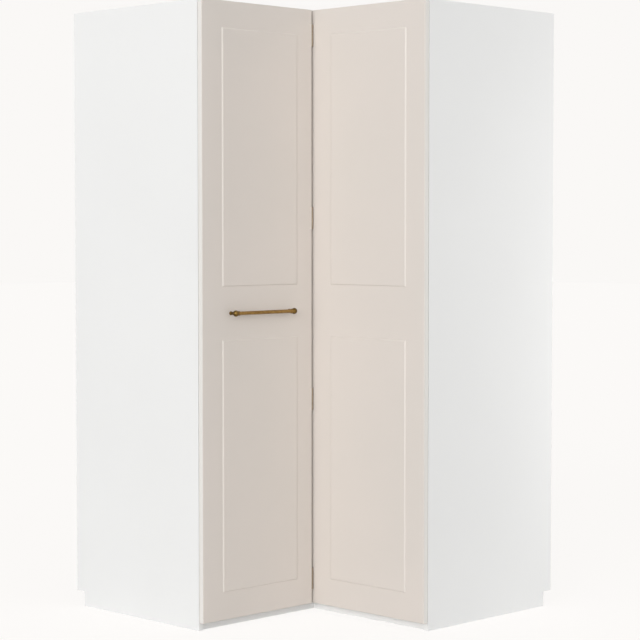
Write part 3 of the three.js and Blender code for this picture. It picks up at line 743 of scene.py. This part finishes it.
def make_bumpers(side):
    """Silicone domes on a leaf's back, where it meets the boards and panels behind it."""
    top_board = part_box("top_board_right")[0].z + BOARD / 2
    low_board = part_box("bottom_board_right")[1].z - BOARD / 2
    places = [(BUMPER_FROM_CORNER, low_board), (BUMPER_FROM_CORNER, top_board)]
    if side == "left":
        panel = leaf_span(side)[1] - BOARD / 2
        places += [(panel, LEAF_LOW + BUMPER_FROM_END), (panel, LEAF_TOP - BUMPER_FROM_END)]
    profile = [(0, -BUMPER_ROOT), (BUMPER_RADIUS, -BUMPER_ROOT)]
    profile += dome(BUMPER_RADIUS, 0, BUMPER_RISE, BUMPER_STEPS)
    direction = wing(side, 0, 1, 0) - wing(side, 0, 0, 0)
    bm = bmesh.new()
    for u, z in places:
        add_turned(bm, profile, wing(side, u, LEAF_THICKNESS, z), direction, BUMPER_SIDES)
    mesh = close_mesh(bm, f"{side}_leaf_bumpers")
    soften(mesh, BUMPER_CREASE)
    link_piece(f"{side}_leaf_bumpers", mesh, milky_silicone, f"{side}_leaf")


# Handle


def make_handle_post(end):
    """A post turned with its rosette and ball, and the screw that holds it from behind."""
    low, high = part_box(f"handle_post_{end}")
    bar_end, way = (1, 1) if end == "inner" else (0, -1)
    centre_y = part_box("handle_bar")[bar_end].y + way * (BALL_RADIUS - BAR_SEAT)
    centre_z = (low.z + high.z) / 2
    ball = high.x - BALL_RADIUS - CORNER_X
    head = low.x - CORNER_X
    neck = math.asin(POST_RADIUS / BALL_RADIUS)
    rosette = SEAT_GAP + ROSETTE_THICKNESS
    profile = [
        (0, head),
        (HANDLE_SCREW_HEAD - HANDLE_SCREW_EASE, head),
        (HANDLE_SCREW_HEAD, head + HANDLE_SCREW_EASE),
        (HANDLE_SCREW_HEAD, head + HANDLE_SCREW_DEPTH),
        (HANDLE_SCREW_RADIUS, head + HANDLE_SCREW_DEPTH),
        (HANDLE_SCREW_RADIUS, SEAT_GAP),
        (ROSETTE_RADIUS, SEAT_GAP),
    ]
    rim = (ROSETTE_RADIUS - COLLAR_ROUND, SEAT_GAP + ROSETTE_THICKNESS / 2 - COLLAR_ROUND / 2)
    profile += arc(rim, COLLAR_ROUND, 0, math.pi / 2, COLLAR_STEPS)
    profile += [(POST_RADIUS + POST_FOOT, rosette), (POST_RADIUS, rosette + POST_FOOT)]
    for i in range(BALL_STEPS + 1):
        angle = math.pi - neck - (math.pi - neck) * i / BALL_STEPS
        radius = 0 if i == BALL_STEPS else BALL_RADIUS * math.sin(angle)
        profile.append((radius, ball + BALL_RADIUS * math.cos(angle)))
    mesh = turned(profile, (CORNER_X, centre_y, centre_z), (1, 0, 0), HANDLE_SIDES)
    soften(mesh, METAL_CREASE)
    # The posts take the darker brass, with its patina and painted dark reflections.
    piece = link_piece(f"handle_post_{end}_turned", mesh, patina_and_reflection_brass, "left_leaf")
    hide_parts(f"handle_post_{end}")


def make_handle_bar():
    """The round bar with a rounded collar at each end."""
    low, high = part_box("handle_bar")
    length = high.y - low.y
    start = BAR_SEAT + SEAT_GAP
    end = start + COLLAR_LENGTH
    quarter = math.pi / 2
    inner = COLLAR_RADIUS - COLLAR_ROUND
    near = arc((inner, start + COLLAR_ROUND), COLLAR_ROUND, -quarter, 0, COLLAR_STEPS)
    far = arc((inner, end - COLLAR_ROUND), COLLAR_ROUND, 0, quarter, COLLAR_STEPS)
    half = [(0, 0), (BAR_RADIUS, 0), (BAR_RADIUS, start), *near, *far, (BAR_RADIUS, end)]
    profile = half + [(radius, length - along) for radius, along in reversed(half)]
    centre = ((low.x + high.x) / 2, low.y, (low.z + high.z) / 2)
    mesh = turned(profile, centre, (0, 1, 0), HANDLE_SIDES)
    soften(mesh, METAL_CREASE)
    piece = link_piece("handle_bar_turned", mesh, aged_brass, "left_leaf")
    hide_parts("handle_bar")


# Hinges and rail

# Where the mounting plates sit on the right side panel, and the hinges' heights
PANEL_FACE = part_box("side_panel_right")[1].x - BOARD - SEAT_GAP
CUP_HEIGHTS = [box_centre(f"hinge_cup_{i}").z for i in HINGES]
FOLD_HEIGHTS = [box_centre(f"fold_hinge_pin_{i}").z for i in HINGES]
CUP_CENTRE = box_centre("hinge_cup_1").x


def make_hinge_cups():
    """Deep-drawn cups with a rolled flange, two eared wings and the axles of the links."""
    floor = CORNER_Y + LEAF_THICKNESS - CUP_DEPTH
    flange = CUP_DEPTH + SEAT_GAP
    top = flange + CUP_FLANGE
    lip = CUP_FLANGE / 2
    quarter = math.pi / 2
    inside = CUP_RADIUS - CUP_WALL
    profile = [(0, 0)]
    profile += arc((CUP_RADIUS - CUP_ROOT, CUP_ROOT), CUP_ROOT, -quarter, 0, CUP_ROOT_STEPS)
    profile += [(CUP_RADIUS, flange), (CUP_FLANGE_RADIUS, flange)]
    profile += arc((CUP_FLANGE_RADIUS - lip, top - lip), lip, 0, quarter, CUP_LIP_STEPS)
    profile += arc((inside + lip, top - lip), lip, quarter, 2 * quarter, CUP_LIP_STEPS)
    profile += arc((inside - CUP_WALL, 2 * CUP_WALL), CUP_WALL, 0, -quarter, CUP_ROOT_STEPS)
    profile.append((0, CUP_WALL))
    bowl = turned(profile, (CUP_CENTRE, floor, 0), (0, 1, 0), CUP_SIDES)
    ear = CUP_CENTRE - CUP_SCREW_BACK
    half = CUP_WING_WIDTH / 2
    corners = rectangle((ear - half, -CUP_WING_HALF), (ear + half, CUP_WING_HALF))
    wings = prism(
        rounded(corners, CUP_WING_ROUND),
        (floor + flange, floor + top),
        lambda a, b, level: Vector((a, level, b)),
    )
    hollow = turned(
        rod(inside, 2 * CUP_WALL, 2 * top), (CUP_CENTRE, floor, 0), (0, 1, 0), CUP_SIDES)
    mesh = combine(bowl, ("UNION", combine(wings, ("DIFFERENCE", hollow))))
    bm = bmesh.new()
    bm.from_mesh(mesh)
    for across, deep in CUP_AXLES:
        reach = math.sqrt(inside ** 2 - across ** 2) + CUP_WALL / 2
        start = (CUP_CENTRE + across, floor + deep, -reach)
        add_cylinder(bm, CUP_AXLE_RADIUS, start, (0, 0, 1), 2 * reach, CUP_AXLE_SIDES)
    bm.to_mesh(mesh)
    bm.free()
    set_copies("hinge_cup", mesh, CUP_HEIGHTS, nickel_plate, "right_leaf")


def make_hinge_arms():
    """Pressed arms: a channel with a round nose and a sloping tail."""
    low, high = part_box("hinge_arm_1")
    length = high.y - low.y
    tail = length - ARM_TAIL

    def place(a, b, level):
        return Vector((high.x - a, low.y + b, level))

    corners = [(0, 0), (ARM_DEPTH, 0), (ARM_DEPTH, tail), (ARM_TAIL_DEPTH, length), (0, length)]
    shell = prism(rounded(corners, ARM_ROUNDINGS), (-ARM_HALF, ARM_HALF), place)
    hollow = [
        (-CUT_PAST, ARM_NOSE),
        (ARM_DEPTH - ARM_WALL, ARM_NOSE),
        (ARM_DEPTH - ARM_WALL, tail),
        (ARM_TAIL_DEPTH - ARM_WALL, length + CUT_PAST),
        (-CUT_PAST, length + CUT_PAST),
    ]
    channel = prism(hollow, (ARM_WALL - ARM_HALF, ARM_HALF - ARM_WALL), place)
    mesh = combine(shell, ("DIFFERENCE", channel), edge=PRESSED_EDGE)
    set_copies("hinge_arm", mesh, CUP_HEIGHTS, nickel_plate, "carcass")


def make_mounting_plates():
    """Cross-shaped plates: two screw wings, a spine and the ridge that the arm clips on."""
    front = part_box("hinge_mounting_plate_1")[0].y
    rear = front + PLATE_LENGTH
    top = PLATE_THICKNESS + RIDGE_HEIGHT

    def place(a, b, level):
        return Vector((PANEL_FACE - level, a, b))

    wings = rectangle((front, -PLATE_WING_HALF), (front + PLATE_WING_WIDTH, PLATE_WING_HALF))
    spine = rectangle((front + SPINE_INSET, -SPINE_HALF), (rear, SPINE_HALF))
    ridge = rectangle((front + PLATE_THICKNESS, -RIDGE_HALF), (rear - SPINE_INSET, RIDGE_HALF))
    mesh = combine(
        prism(rounded(wings, PLATE_WING_ROUND), (0, PLATE_THICKNESS), place),
        ("UNION", prism(rounded(spine, SPINE_ROUND), (0, PLATE_THICKNESS - SPINE_DROP), place)),
        ("UNION", prism(rounded(ridge, RIDGE_ROUND), (PLATE_THICKNESS / 2, top), place)),
        edge=PRESSED_EDGE,
    )
    set_copies(
        "hinge_mounting_plate", mesh, CUP_HEIGHTS, nickel_plate, "carcass")


def knuckle_outline():
    """A round knuckle with its strip of plate, which runs along +a from the pin."""
    inner = math.sqrt(KNUCKLE_RADIUS ** 2 - (KNUCKLE_RADIUS - FOLD_PLATE) ** 2)
    start = math.atan2(FOLD_PLATE - KNUCKLE_RADIUS, inner)
    strip = [
        (FOLD_PLATE_REACH / 2, -KNUCKLE_RADIUS),
        (FOLD_PLATE_REACH / 2, FOLD_PLATE - KNUCKLE_RADIUS),
    ]
    turn = 1.5 * math.pi - start
    curve = [start + turn * i / KNUCKLE_STEPS for i in range(KNUCKLE_STEPS + 1)]
    return strip + [(KNUCKLE_RADIUS * math.cos(t), KNUCKLE_RADIUS * math.sin(t)) for t in curve]


def make_fold_hinges():
    """Rolled knuckles on two pressed plates, and a pin with round heads.

    The right leaf's plate has the first, third and fifth knuckle, and the left leaf's, mirrored,
    has the other two.
    """
    centre = Vector((CORNER_X - KNUCKLE_RADIUS, CORNER_Y - KNUCKLE_RADIUS - SEAT_GAP, 0))
    pitch = KNUCKLE_LENGTH + SEAT_GAP
    half = (KNUCKLE_COUNT * pitch - SEAT_GAP) / 2
    corners = rectangle((KNUCKLE_RADIUS + SEAT_GAP, -half), (FOLD_PLATE_REACH, half))
    for side, flip, parity in (("right", -1, 0), ("left", 1, 1)):

        def place(a, b, level, flip=flip):
            return centre + Vector((-a, flip * b, level))

        strip = prism(
            rounded(corners, FOLD_PLATE_ROUNDINGS),
            (-KNUCKLE_RADIUS, FOLD_PLATE - KNUCKLE_RADIUS),
            lambda a, b, level, place=place: place(a, level, b),
        )
        knuckles = []
        for k in range(parity, KNUCKLE_COUNT, 2):
            low = k * pitch - half
            knuckles.append(
                ("UNION", prism(knuckle_outline(), (low, low + KNUCKLE_LENGTH), place)))
        bore = turned(rod(KNUCKLE_BORE, -2 * half, 2 * half), centre, (0, 0, 1), FOLD_SIDES)
        mesh = combine(strip, *knuckles, ("DIFFERENCE", bore))
        set_copies(
            f"fold_hinge_{side}_plate", mesh, FOLD_HEIGHTS, bronzed_steel, f"{side}_leaf")
    end = half + SEAT_GAP
    head = dome(FOLD_PIN_HEAD_RADIUS, end, FOLD_PIN_HEAD, FOLD_PIN_HEAD_STEPS)
    upper = [(FOLD_PIN_RADIUS, end), *head]
    pin = [(radius, -along) for radius, along in reversed(upper)] + upper
    mesh = turned(pin, centre, (0, 0, 1), FOLD_SIDES)
    set_copies("fold_hinge_pin", mesh, FOLD_HEIGHTS, bronzed_steel, "right_leaf")


def make_clothes_rail():
    """An oval chromed tube in two sockets, with a hanger at its middle."""
    low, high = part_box("clothes_rail")
    centre = (low + high) / 2
    radius = (high.x - low.x) / 2
    reach = (high.z - low.z) / 2 - radius

    def sleeve(growth, start, end):
        """A length of the rail's oval, grown all round."""
        around = radius + growth
        turn = [math.pi * i / RAIL_STEPS for i in range(RAIL_STEPS + 1)]
        upper = [(around * math.cos(t), reach + around * math.sin(t)) for t in turn]
        return prism(
            upper + [(-a, -b) for a, b in upper],
            (start, end),
            lambda a, b, level: Vector((centre.x + a, level, centre.z + b)),
        )

    def settle(name, mesh):
        soften(mesh, METAL_CREASE)
        piece = link_piece(f"{name}_fine", mesh, chromed_tube, "carcass")
        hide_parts(name)

    hollow = sleeve(-RAIL_WALL, low.y - CUT_PAST, high.y + CUT_PAST)
    settle("clothes_rail", combine(sleeve(0, low.y, high.y), ("DIFFERENCE", hollow)))
    wall = SEAT_GAP + RAIL_SOCKET_WALL
    for name in ("rail_socket_side", "rail_socket_rear"):
        near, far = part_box(name)
        face, way = (near.y, 1) if far.y < centre.y else (far.y, -1)
        floor = face + way * RAIL_SOCKET_BASE
        end = face + way * (RAIL_SOCKET_BASE + RAIL_SOCKET_COLLAR)
        base = sleeve(RAIL_SOCKET_MARGIN, face, floor)
        collar = sleeve(wall, face + way * RAIL_SOCKET_BASE / 2, end)
        seat = sleeve(SEAT_GAP, floor, face + way * (RAIL_SOCKET_COLLAR + CUT_PAST))
        settle(name, combine(base, ("UNION", collar), ("DIFFERENCE", seat), edge=PRESSED_EDGE))
    near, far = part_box("rail_centre_hanger")
    middle = (near + far) / 2
    plate = prism(
        rounded(rectangle((near.x, near.y), (far.x, far.y)), RAIL_HANGER_PLATE_ROUND),
        (far.z - RAIL_HANGER_PLATE, far.z),
        lambda a, b, level: Vector((a, b, level)),
    )
    stem = turned(
        rod(RAIL_HANGER_STEM, 0, far.z - centre.z - RAIL_HANGER_PLATE / 2),
        (middle.x, middle.y, centre.z), (0, 0, 1), RAIL_HANGER_STEM_SIDES)
    strap = sleeve(wall, middle.y - RAIL_HANGER_STRAP_HALF, middle.y + RAIL_HANGER_STRAP_HALF)
    seat = sleeve(SEAT_GAP, middle.y - CUT_PAST, middle.y + CUT_PAST)
    settle("rail_centre_hanger", combine(
        plate, ("UNION", stem), ("UNION", strap), ("DIFFERENCE", seat), edge=PRESSED_EDGE))


# Repeated small pieces, grown on points by node trees


def new_tree(name, sizes):
    """A geometry tree with a point cloud, a material and named sizes as its inputs."""
    tree = bpy.data.node_groups.new(name, "GeometryNodeTree")
    tree.interface.new_socket("Geometry", in_out="INPUT", socket_type="NodeSocketGeometry")
    tree.interface.new_socket("Finish", in_out="INPUT", socket_type="NodeSocketMaterial")
    for size in sizes:
        tree.interface.new_socket(size, in_out="INPUT", socket_type="NodeSocketFloat")
    tree.interface.new_socket("Geometry", in_out="OUTPUT", socket_type="NodeSocketGeometry")
    return tree, add_node(tree, "NodeGroupInput").outputs


def close_tree(tree, given, shape):
    """Sets the shape on every point, turned to the point's direction, as one real mesh."""
    aim = add_node(
        tree, "GeometryNodeInputNamedAttribute", {"Name": "direction"}, data_type="FLOAT_VECTOR")
    turn = add_node(
        tree, "FunctionNodeAlignRotationToVector", {"Vector": aim.outputs["Attribute"]}, axis="Z")
    points = add_node(
        tree,
        "GeometryNodeInstanceOnPoints",
        {"Points": given["Geometry"], "Instance": shape, "Rotation": turn.outputs["Rotation"]},
    )
    real = add_node(
        tree, "GeometryNodeRealizeInstances", {"Geometry": points.outputs["Instances"]})
    painted = add_node(
        tree,
        "GeometryNodeSetMaterial",
        {"Geometry": real.outputs["Geometry"], "Material": given["Finish"]},
    )
    add_node(tree, "NodeGroupOutput", {"Geometry": painted.outputs["Geometry"]})
    return tree


def screw_head_tree():
    """A low dome with a cross recess."""
    tree, given = new_tree("screw_head", ["Head Radius", "Head Rise"])
    radius, rise = given["Head Radius"], given["Head Rise"]
    flat = add_node(tree, "ShaderNodeMath", {0: radius, 1: HEAD_FLAT}, operation="MULTIPLY")
    head = add_node(
        tree,
        "GeometryNodeMeshCone",
        {
            "Vertices": HEAD_SIDES,
            "Radius Bottom": radius,
            "Radius Top": flat.outputs["Value"],
            "Depth": rise,
        },
    ).outputs["Mesh"]
    size = add_node(tree, "ShaderNodeCombineXYZ", {0: radius, 1: radius, 2: rise})
    lift = add_node(tree, "ShaderNodeCombineXYZ", {2: rise})
    for across in ((RECESS_LENGTH, RECESS_WIDTH), (RECESS_WIDTH, RECESS_LENGTH)):
        slit = add_node(
            tree,
            "ShaderNodeVectorMath",
            {0: size.outputs["Vector"], 1: (*across, RECESS_DEPTH)},
            operation="MULTIPLY",
        )
        cube = add_node(tree, "GeometryNodeMeshCube", {"Size": slit.outputs["Vector"]})
        cutter = add_node(
            tree,
            "GeometryNodeTransform",
            {"Geometry": cube.outputs["Mesh"], "Translation": lift.outputs["Vector"]},
        )
        head = add_node(
            tree,
            "GeometryNodeMeshBoolean",
            {0: head, 1: cutter.outputs["Geometry"]},
            operation="DIFFERENCE",
            solver="EXACT",
        ).outputs["Mesh"]
    return close_tree(tree, given, head)


def stud_tree():
    """A plain round stud that stands on its point, with a chamfered tip."""
    tree, given = new_tree("stud", ["Radius", "Length", "Chamfer"])
    trimmed = {}
    for size in ("Length", "Radius"):
        trimmed[size] = add_node(
            tree,
            "ShaderNodeMath",
            {0: given[size], 1: given["Chamfer"]},
            operation="SUBTRACT",
        ).outputs["Value"]
    half = add_node(tree, "ShaderNodeMath", {0: trimmed["Length"], 1: 0.5}, operation="MULTIPLY")
    stem = add_node(
        tree,
        "GeometryNodeMeshCylinder",
        {"Vertices": STUD_SIDES, "Radius": given["Radius"], "Depth": trimmed["Length"]},
    )
    tip = add_node(
        tree,
        "GeometryNodeMeshCone",
        {
            "Vertices": STUD_SIDES,
            "Radius Bottom": given["Radius"],
            "Radius Top": trimmed["Radius"],
            "Depth": given["Chamfer"],
        },
    )
    both = add_node(tree, "GeometryNodeJoinGeometry")
    for part, height in ((stem, half.outputs["Value"]), (tip, trimmed["Length"])):
        lift = add_node(tree, "ShaderNodeCombineXYZ", {2: height})
        raised = add_node(
            tree,
            "GeometryNodeTransform",
            {"Geometry": part.outputs["Mesh"], "Translation": lift.outputs["Vector"]},
        )
        tree.links.new(raised.outputs["Geometry"], both.inputs["Geometry"])
    return close_tree(tree, given, both.outputs["Geometry"])


def grow(name, tree, places, sizes, finish_material, body):
    """Grows a tree's shape on places, which are pairs of a point and a direction, as one piece."""
    mesh = bpy.data.meshes.new(name)
    mesh.from_pydata([list(point) for point, _ in places], [], [])
    directions = mesh.attributes.new("direction", "FLOAT_VECTOR", "POINT")
    directions.data.foreach_set("vector", [c for _, way in places for c in way])
    obj = bpy.data.objects.new(name, mesh)
    bpy.context.scene.collection.objects.link(obj)
    modifier = obj.modifiers.new("grow", "NODES")
    modifier.node_group = tree
    inputs = {s.name: s.identifier for s in tree.interface.items_tree if s.in_out == "INPUT"}
    modifier[inputs["Finish"]] = finish_material
    for size, value in sizes.items():
        modifier[inputs[size]] = value
    bpy.context.view_layer.update()
    graph = bpy.context.evaluated_depsgraph_get()
    grown = bpy.data.meshes.new_from_object(obj.evaluated_get(graph))
    bpy.data.objects.remove(obj)
    return link_piece(name, grown, finish_material, body)


def grow_screws(tree):
    """The heads of the hinges' screws, one mesh for each body."""
    cups, plates, right_folds, left_folds = [], [], [], []
    plate_face = PANEL_FACE - PLATE_THICKNESS
    right_face = CORNER_Y - SEAT_GAP - FOLD_PLATE
    for i in HINGES:
        low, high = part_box(f"hinge_cup_{i}")
        x = (low.x + high.x) / 2 - CUP_SCREW_BACK
        z = (low.z + high.z) / 2
        plate_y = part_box(f"hinge_mounting_plate_{i}")[0].y + PLATE_WING_WIDTH / 2
        arm_low, arm_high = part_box(f"hinge_arm_{i}")
        fold_low, fold_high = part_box(f"fold_hinge_right_plate_{i}")
        fold_half = FOLD_SCREW_SHARE * (fold_high.z - fold_low.z)
        fold_z = (fold_low.z + fold_high.z) / 2
        strip = (fold_low.x + fold_high.x - 2 * KNUCKLE_RADIUS - SEAT_GAP) / 2
        left_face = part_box(f"fold_hinge_left_plate_{i}")[0].y + FOLD_PLATE
        for way in (-1, 1):
            cups.append(((x, high.y - SCREW_DOME, z + way * CUP_SCREW_HALF), (0, 1, 0)))
            plates.append(((plate_face, plate_y, z + way * PLATE_SCREW_HALF), (-1, 0, 0)))
            height = fold_z + way * fold_half
            right_folds.append(((strip, right_face, height), (0, -1, 0)))
            left_folds.append(((strip, left_face, height), (0, 1, 0)))
        for along in ARM_SCREWS:
            plates.append(((arm_high.x - ARM_DEPTH, arm_low.y + along, z), (-1, 0, 0)))
    head = {"Head Radius": HEAD_RADIUS, "Head Rise": HEAD_RISE}
    grow("cup_screw_heads", tree, cups, head, nickel_plate, "right_leaf")
    grow("plate_screw_heads", tree, plates, head, nickel_plate, "carcass")
    for name, places, body in (
        ("fold_screw_heads_right", right_folds, "right_leaf"),
        ("fold_screw_heads_left", left_folds, "left_leaf"),
    ):
        grow(name, tree, places, head, bronzed_steel, body)


def grow_shelf_pins(tree):
    """Nickel pins under the shelves, and the spare holes above and below each."""
    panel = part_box("side_panel_right")[1].x - BOARD
    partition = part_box("partition")[0].x + BOARD
    pins, holes = [], []
    for i in SHELVES:
        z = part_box(f"shelf_{i}")[0].z - PIN_BELOW_SHELF
        for face, way in ((panel, -1), (partition, 1)):
            for v in (PIN_ROW_FRONT, PIN_ROW_REAR):
                y = CORNER_Y + v
                pins.append(((face, y, z), (way, 0, 0)))
                for step in range(-HOLES_EACH_WAY, HOLES_EACH_WAY + 1):
                    if step:
                        holes.append(((face, y, z + step * HOLE_PITCH), (way, 0, 0)))
    pin = {"Radius": PIN_RADIUS, "Length": PIN_PROUD, "Chamfer": PIN_CHAMFER}
    hole = {"Radius": HOLE_RADIUS, "Length": HOLE_SKIN, "Chamfer": HOLE_CHAMFER}
    grow("shelf_pins", tree, pins, pin, nickel_plate, "carcass")
    # The spare holes are thin dark discs: the chipboard core with painted shade.
    grow("spare_pin_holes", tree, holes, hole, hole_core_and_painted_shade, "carcass")


def grow_back_screws(tree):
    """Screws that hold the back sheets to the boards' rear edges."""
    boards = ("bottom_board", "hat_shelf", "top_board")
    heights = [box_centre(f"{board}_right").z for board in boards]
    places = []
    for side in ("left", "right"):
        for part in ("outer", "inner"):
            low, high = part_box(f"back_sheet_{side}_{part}")
            start, end = (low.x, high.x) if side == "right" else (low.y, high.y)
            start += BACK_SCREW_FROM_EDGE
            end -= BACK_SCREW_FROM_EDGE
            count = max(2, round((end - start) / BACK_SCREW_PITCH) + 1)
            for k in range(count):
                along = start + (end - start) * k / (count - 1)
                for z in heights:
                    if side == "right":
                        places.append(((along, high.y, z), (0, 1, 0)))
                    else:
                        places.append(((low.x, along, z), (-1, 0, 0)))
    head = {"Head Radius": BACK_SCREW_RADIUS, "Head Rise": BACK_SCREW_RISE}
    grow("back_sheet_screws", tree, places, head, nickel_plate, "carcass")


# Stage


def sun(name, origin, strength, spread):
    """A distant lamp that shines from a direction."""
    lamp = bpy.data.lights.new(name, "SUN")
    lamp.energy = strength
    lamp.angle = spread
    obj = bpy.data.objects.new(name, lamp)
    obj.rotation_euler = Vector(origin).to_track_quat("Z", "Y").to_euler()
    bpy.context.scene.collection.objects.link(obj)


def rear_lamp():
    """A tall soft lamp behind the right side that lifts the rear of that panel."""
    lamp = bpy.data.lights.new("rear_lamp", "AREA")
    lamp.shape = "RECTANGLE"
    lamp.size, lamp.size_y = REAR_LAMP_SIZE
    lamp.energy = REAR_LAMP_POWER
    obj = bpy.data.objects.new("rear_lamp", lamp)
    obj.location = REAR_LAMP_PLACE
    origin = Vector(REAR_LAMP_PLACE) - Vector(REAR_LAMP_TARGET)
    obj.rotation_euler = origin.to_track_quat("Z", "Y").to_euler()
    obj.visible_camera = False
    obj.visible_glossy = False
    bpy.context.scene.collection.objects.link(obj)
    return obj


def keep_off(lamp, surface):
    """Stops a lamp from lighting one surface."""
    receivers = bpy.data.collections.new(f"{lamp.name}_receivers")
    receivers.objects.link(surface)
    receivers.collection_objects[0].light_linking.link_state = "EXCLUDE"
    lamp.light_linking.receiver_collection = receivers


def seen_rays(tree):
    """One for rays that show the background: from the camera, a mirror or through glass."""
    rays = add_node(tree, "ShaderNodeLightPath").outputs
    seen = rays["Is Camera Ray"]
    for kind in ("Is Glossy Ray", "Is Transmission Ray"):
        either = add_node(tree, "ShaderNodeMath", {0: seen, 1: rays[kind]}, operation="MAXIMUM")
        seen = either.outputs["Value"]
    return seen


def light_room():
    """An even pale room that shows as the background, with the key and the fill."""
    world = bpy.data.worlds.new("pale_room")
    bpy.context.scene.world = world
    world.use_nodes = True
    tree = world.node_tree
    tree.nodes.clear()
    room = add_node(
        tree, "ShaderNodeBackground", {"Color": linear(ROOM_COLOUR), "Strength": ROOM_STRENGTH})
    seen = add_node(tree, "ShaderNodeBackground", {"Color": linear(BACKGROUND), "Strength": 1.0})
    mixed = add_node(
        tree,
        "ShaderNodeMixShader",
        {0: seen_rays(tree), 1: room.outputs["Background"], 2: seen.outputs["Background"]},
    )
    add_node(tree, "ShaderNodeOutputWorld", {"Surface": mixed.outputs["Shader"]})
    sun("key_light", KEY_FROM, KEY_STRENGTH, KEY_SPREAD)
    sun("fill_light", FILL_FROM, FILL_STRENGTH, FILL_SPREAD)


def lay_floor():
    """A pale floor that takes the wardrobe's shadow and otherwise shows as the background."""
    made = bpy.data.materials.new("pale_floor")
    made.use_nodes = True
    tree = made.node_tree
    tree.nodes.clear()
    pale = linear(BACKGROUND)
    plain = add_node(tree, "ShaderNodeBsdfDiffuse", {"Color": linear(FLOOR_COLOUR)})
    shaded = add_node(
        tree, "ShaderNodeBsdfDiffuse", {"Color": [FLOOR_SHARE * c for c in pale[:3]] + [1.0]})
    glow = add_node(tree, "ShaderNodeEmission", {"Color": pale, "Strength": FLOOR_GLOW})
    seen = add_node(
        tree, "ShaderNodeAddShader", {0: shaded.outputs["BSDF"], 1: glow.outputs["Emission"]})
    mixed = add_node(
        tree,
        "ShaderNodeMixShader",
        {0: seen_rays(tree), 1: plain.outputs["BSDF"], 2: seen.outputs["Shader"]},
    )
    add_node(tree, "ShaderNodeOutputMaterial", {"Surface": mixed.outputs["Shader"]})
    half = FLOOR_SIZE / 2
    corners = [(x, y, 0) for x, y in rectangle((-half, -half), (half, half))]
    mesh = bpy.data.meshes.new("floor")
    mesh.from_pydata(corners, [], [(0, 1, 2, 3)])
    mesh.materials.append(made)
    floor = bpy.data.objects.new("floor", mesh)
    bpy.context.scene.collection.objects.link(floor)
    return floor


def set_camera():
    """Sets the photograph's viewing angle."""
    lens = bpy.data.cameras.new("camera")
    lens.sensor_fit = "HORIZONTAL"
    lens.sensor_width = CAMERA_SENSOR
    lens.lens = CAMERA_LENS
    camera = bpy.data.objects.new("camera", lens)
    camera.location = CAMERA_PLACE
    camera.rotation_euler = (math.pi / 2 - CAMERA_DIP, 0, CAMERA_HEADING - math.pi / 2)
    bpy.context.scene.collection.objects.link(camera)
    bpy.context.scene.camera = camera


set_camera()
light_room()
# The rear lamp leaves the floor alone, where it would show as a bright patch.
keep_off(rear_lamp(), lay_floor())
dress_nodes()
for leaf_side in ("right", "left"):
    make_leaf(leaf_side)
    make_end_highlight(leaf_side)
    make_bumpers(leaf_side)
for post_end in POST_ENDS:
    make_handle_post(post_end)
make_handle_bar()
make_hinge_cups()
make_hinge_arms()
make_mounting_plates()
make_fold_hinges()
make_clothes_rail()
screw_heads = screw_head_tree()
studs = stud_tree()
grow_screws(screw_heads)
grow_shelf_pins(studs)
grow_back_screws(screw_heads)

bpy.context.scene.view_settings.view_transform = "Standard"
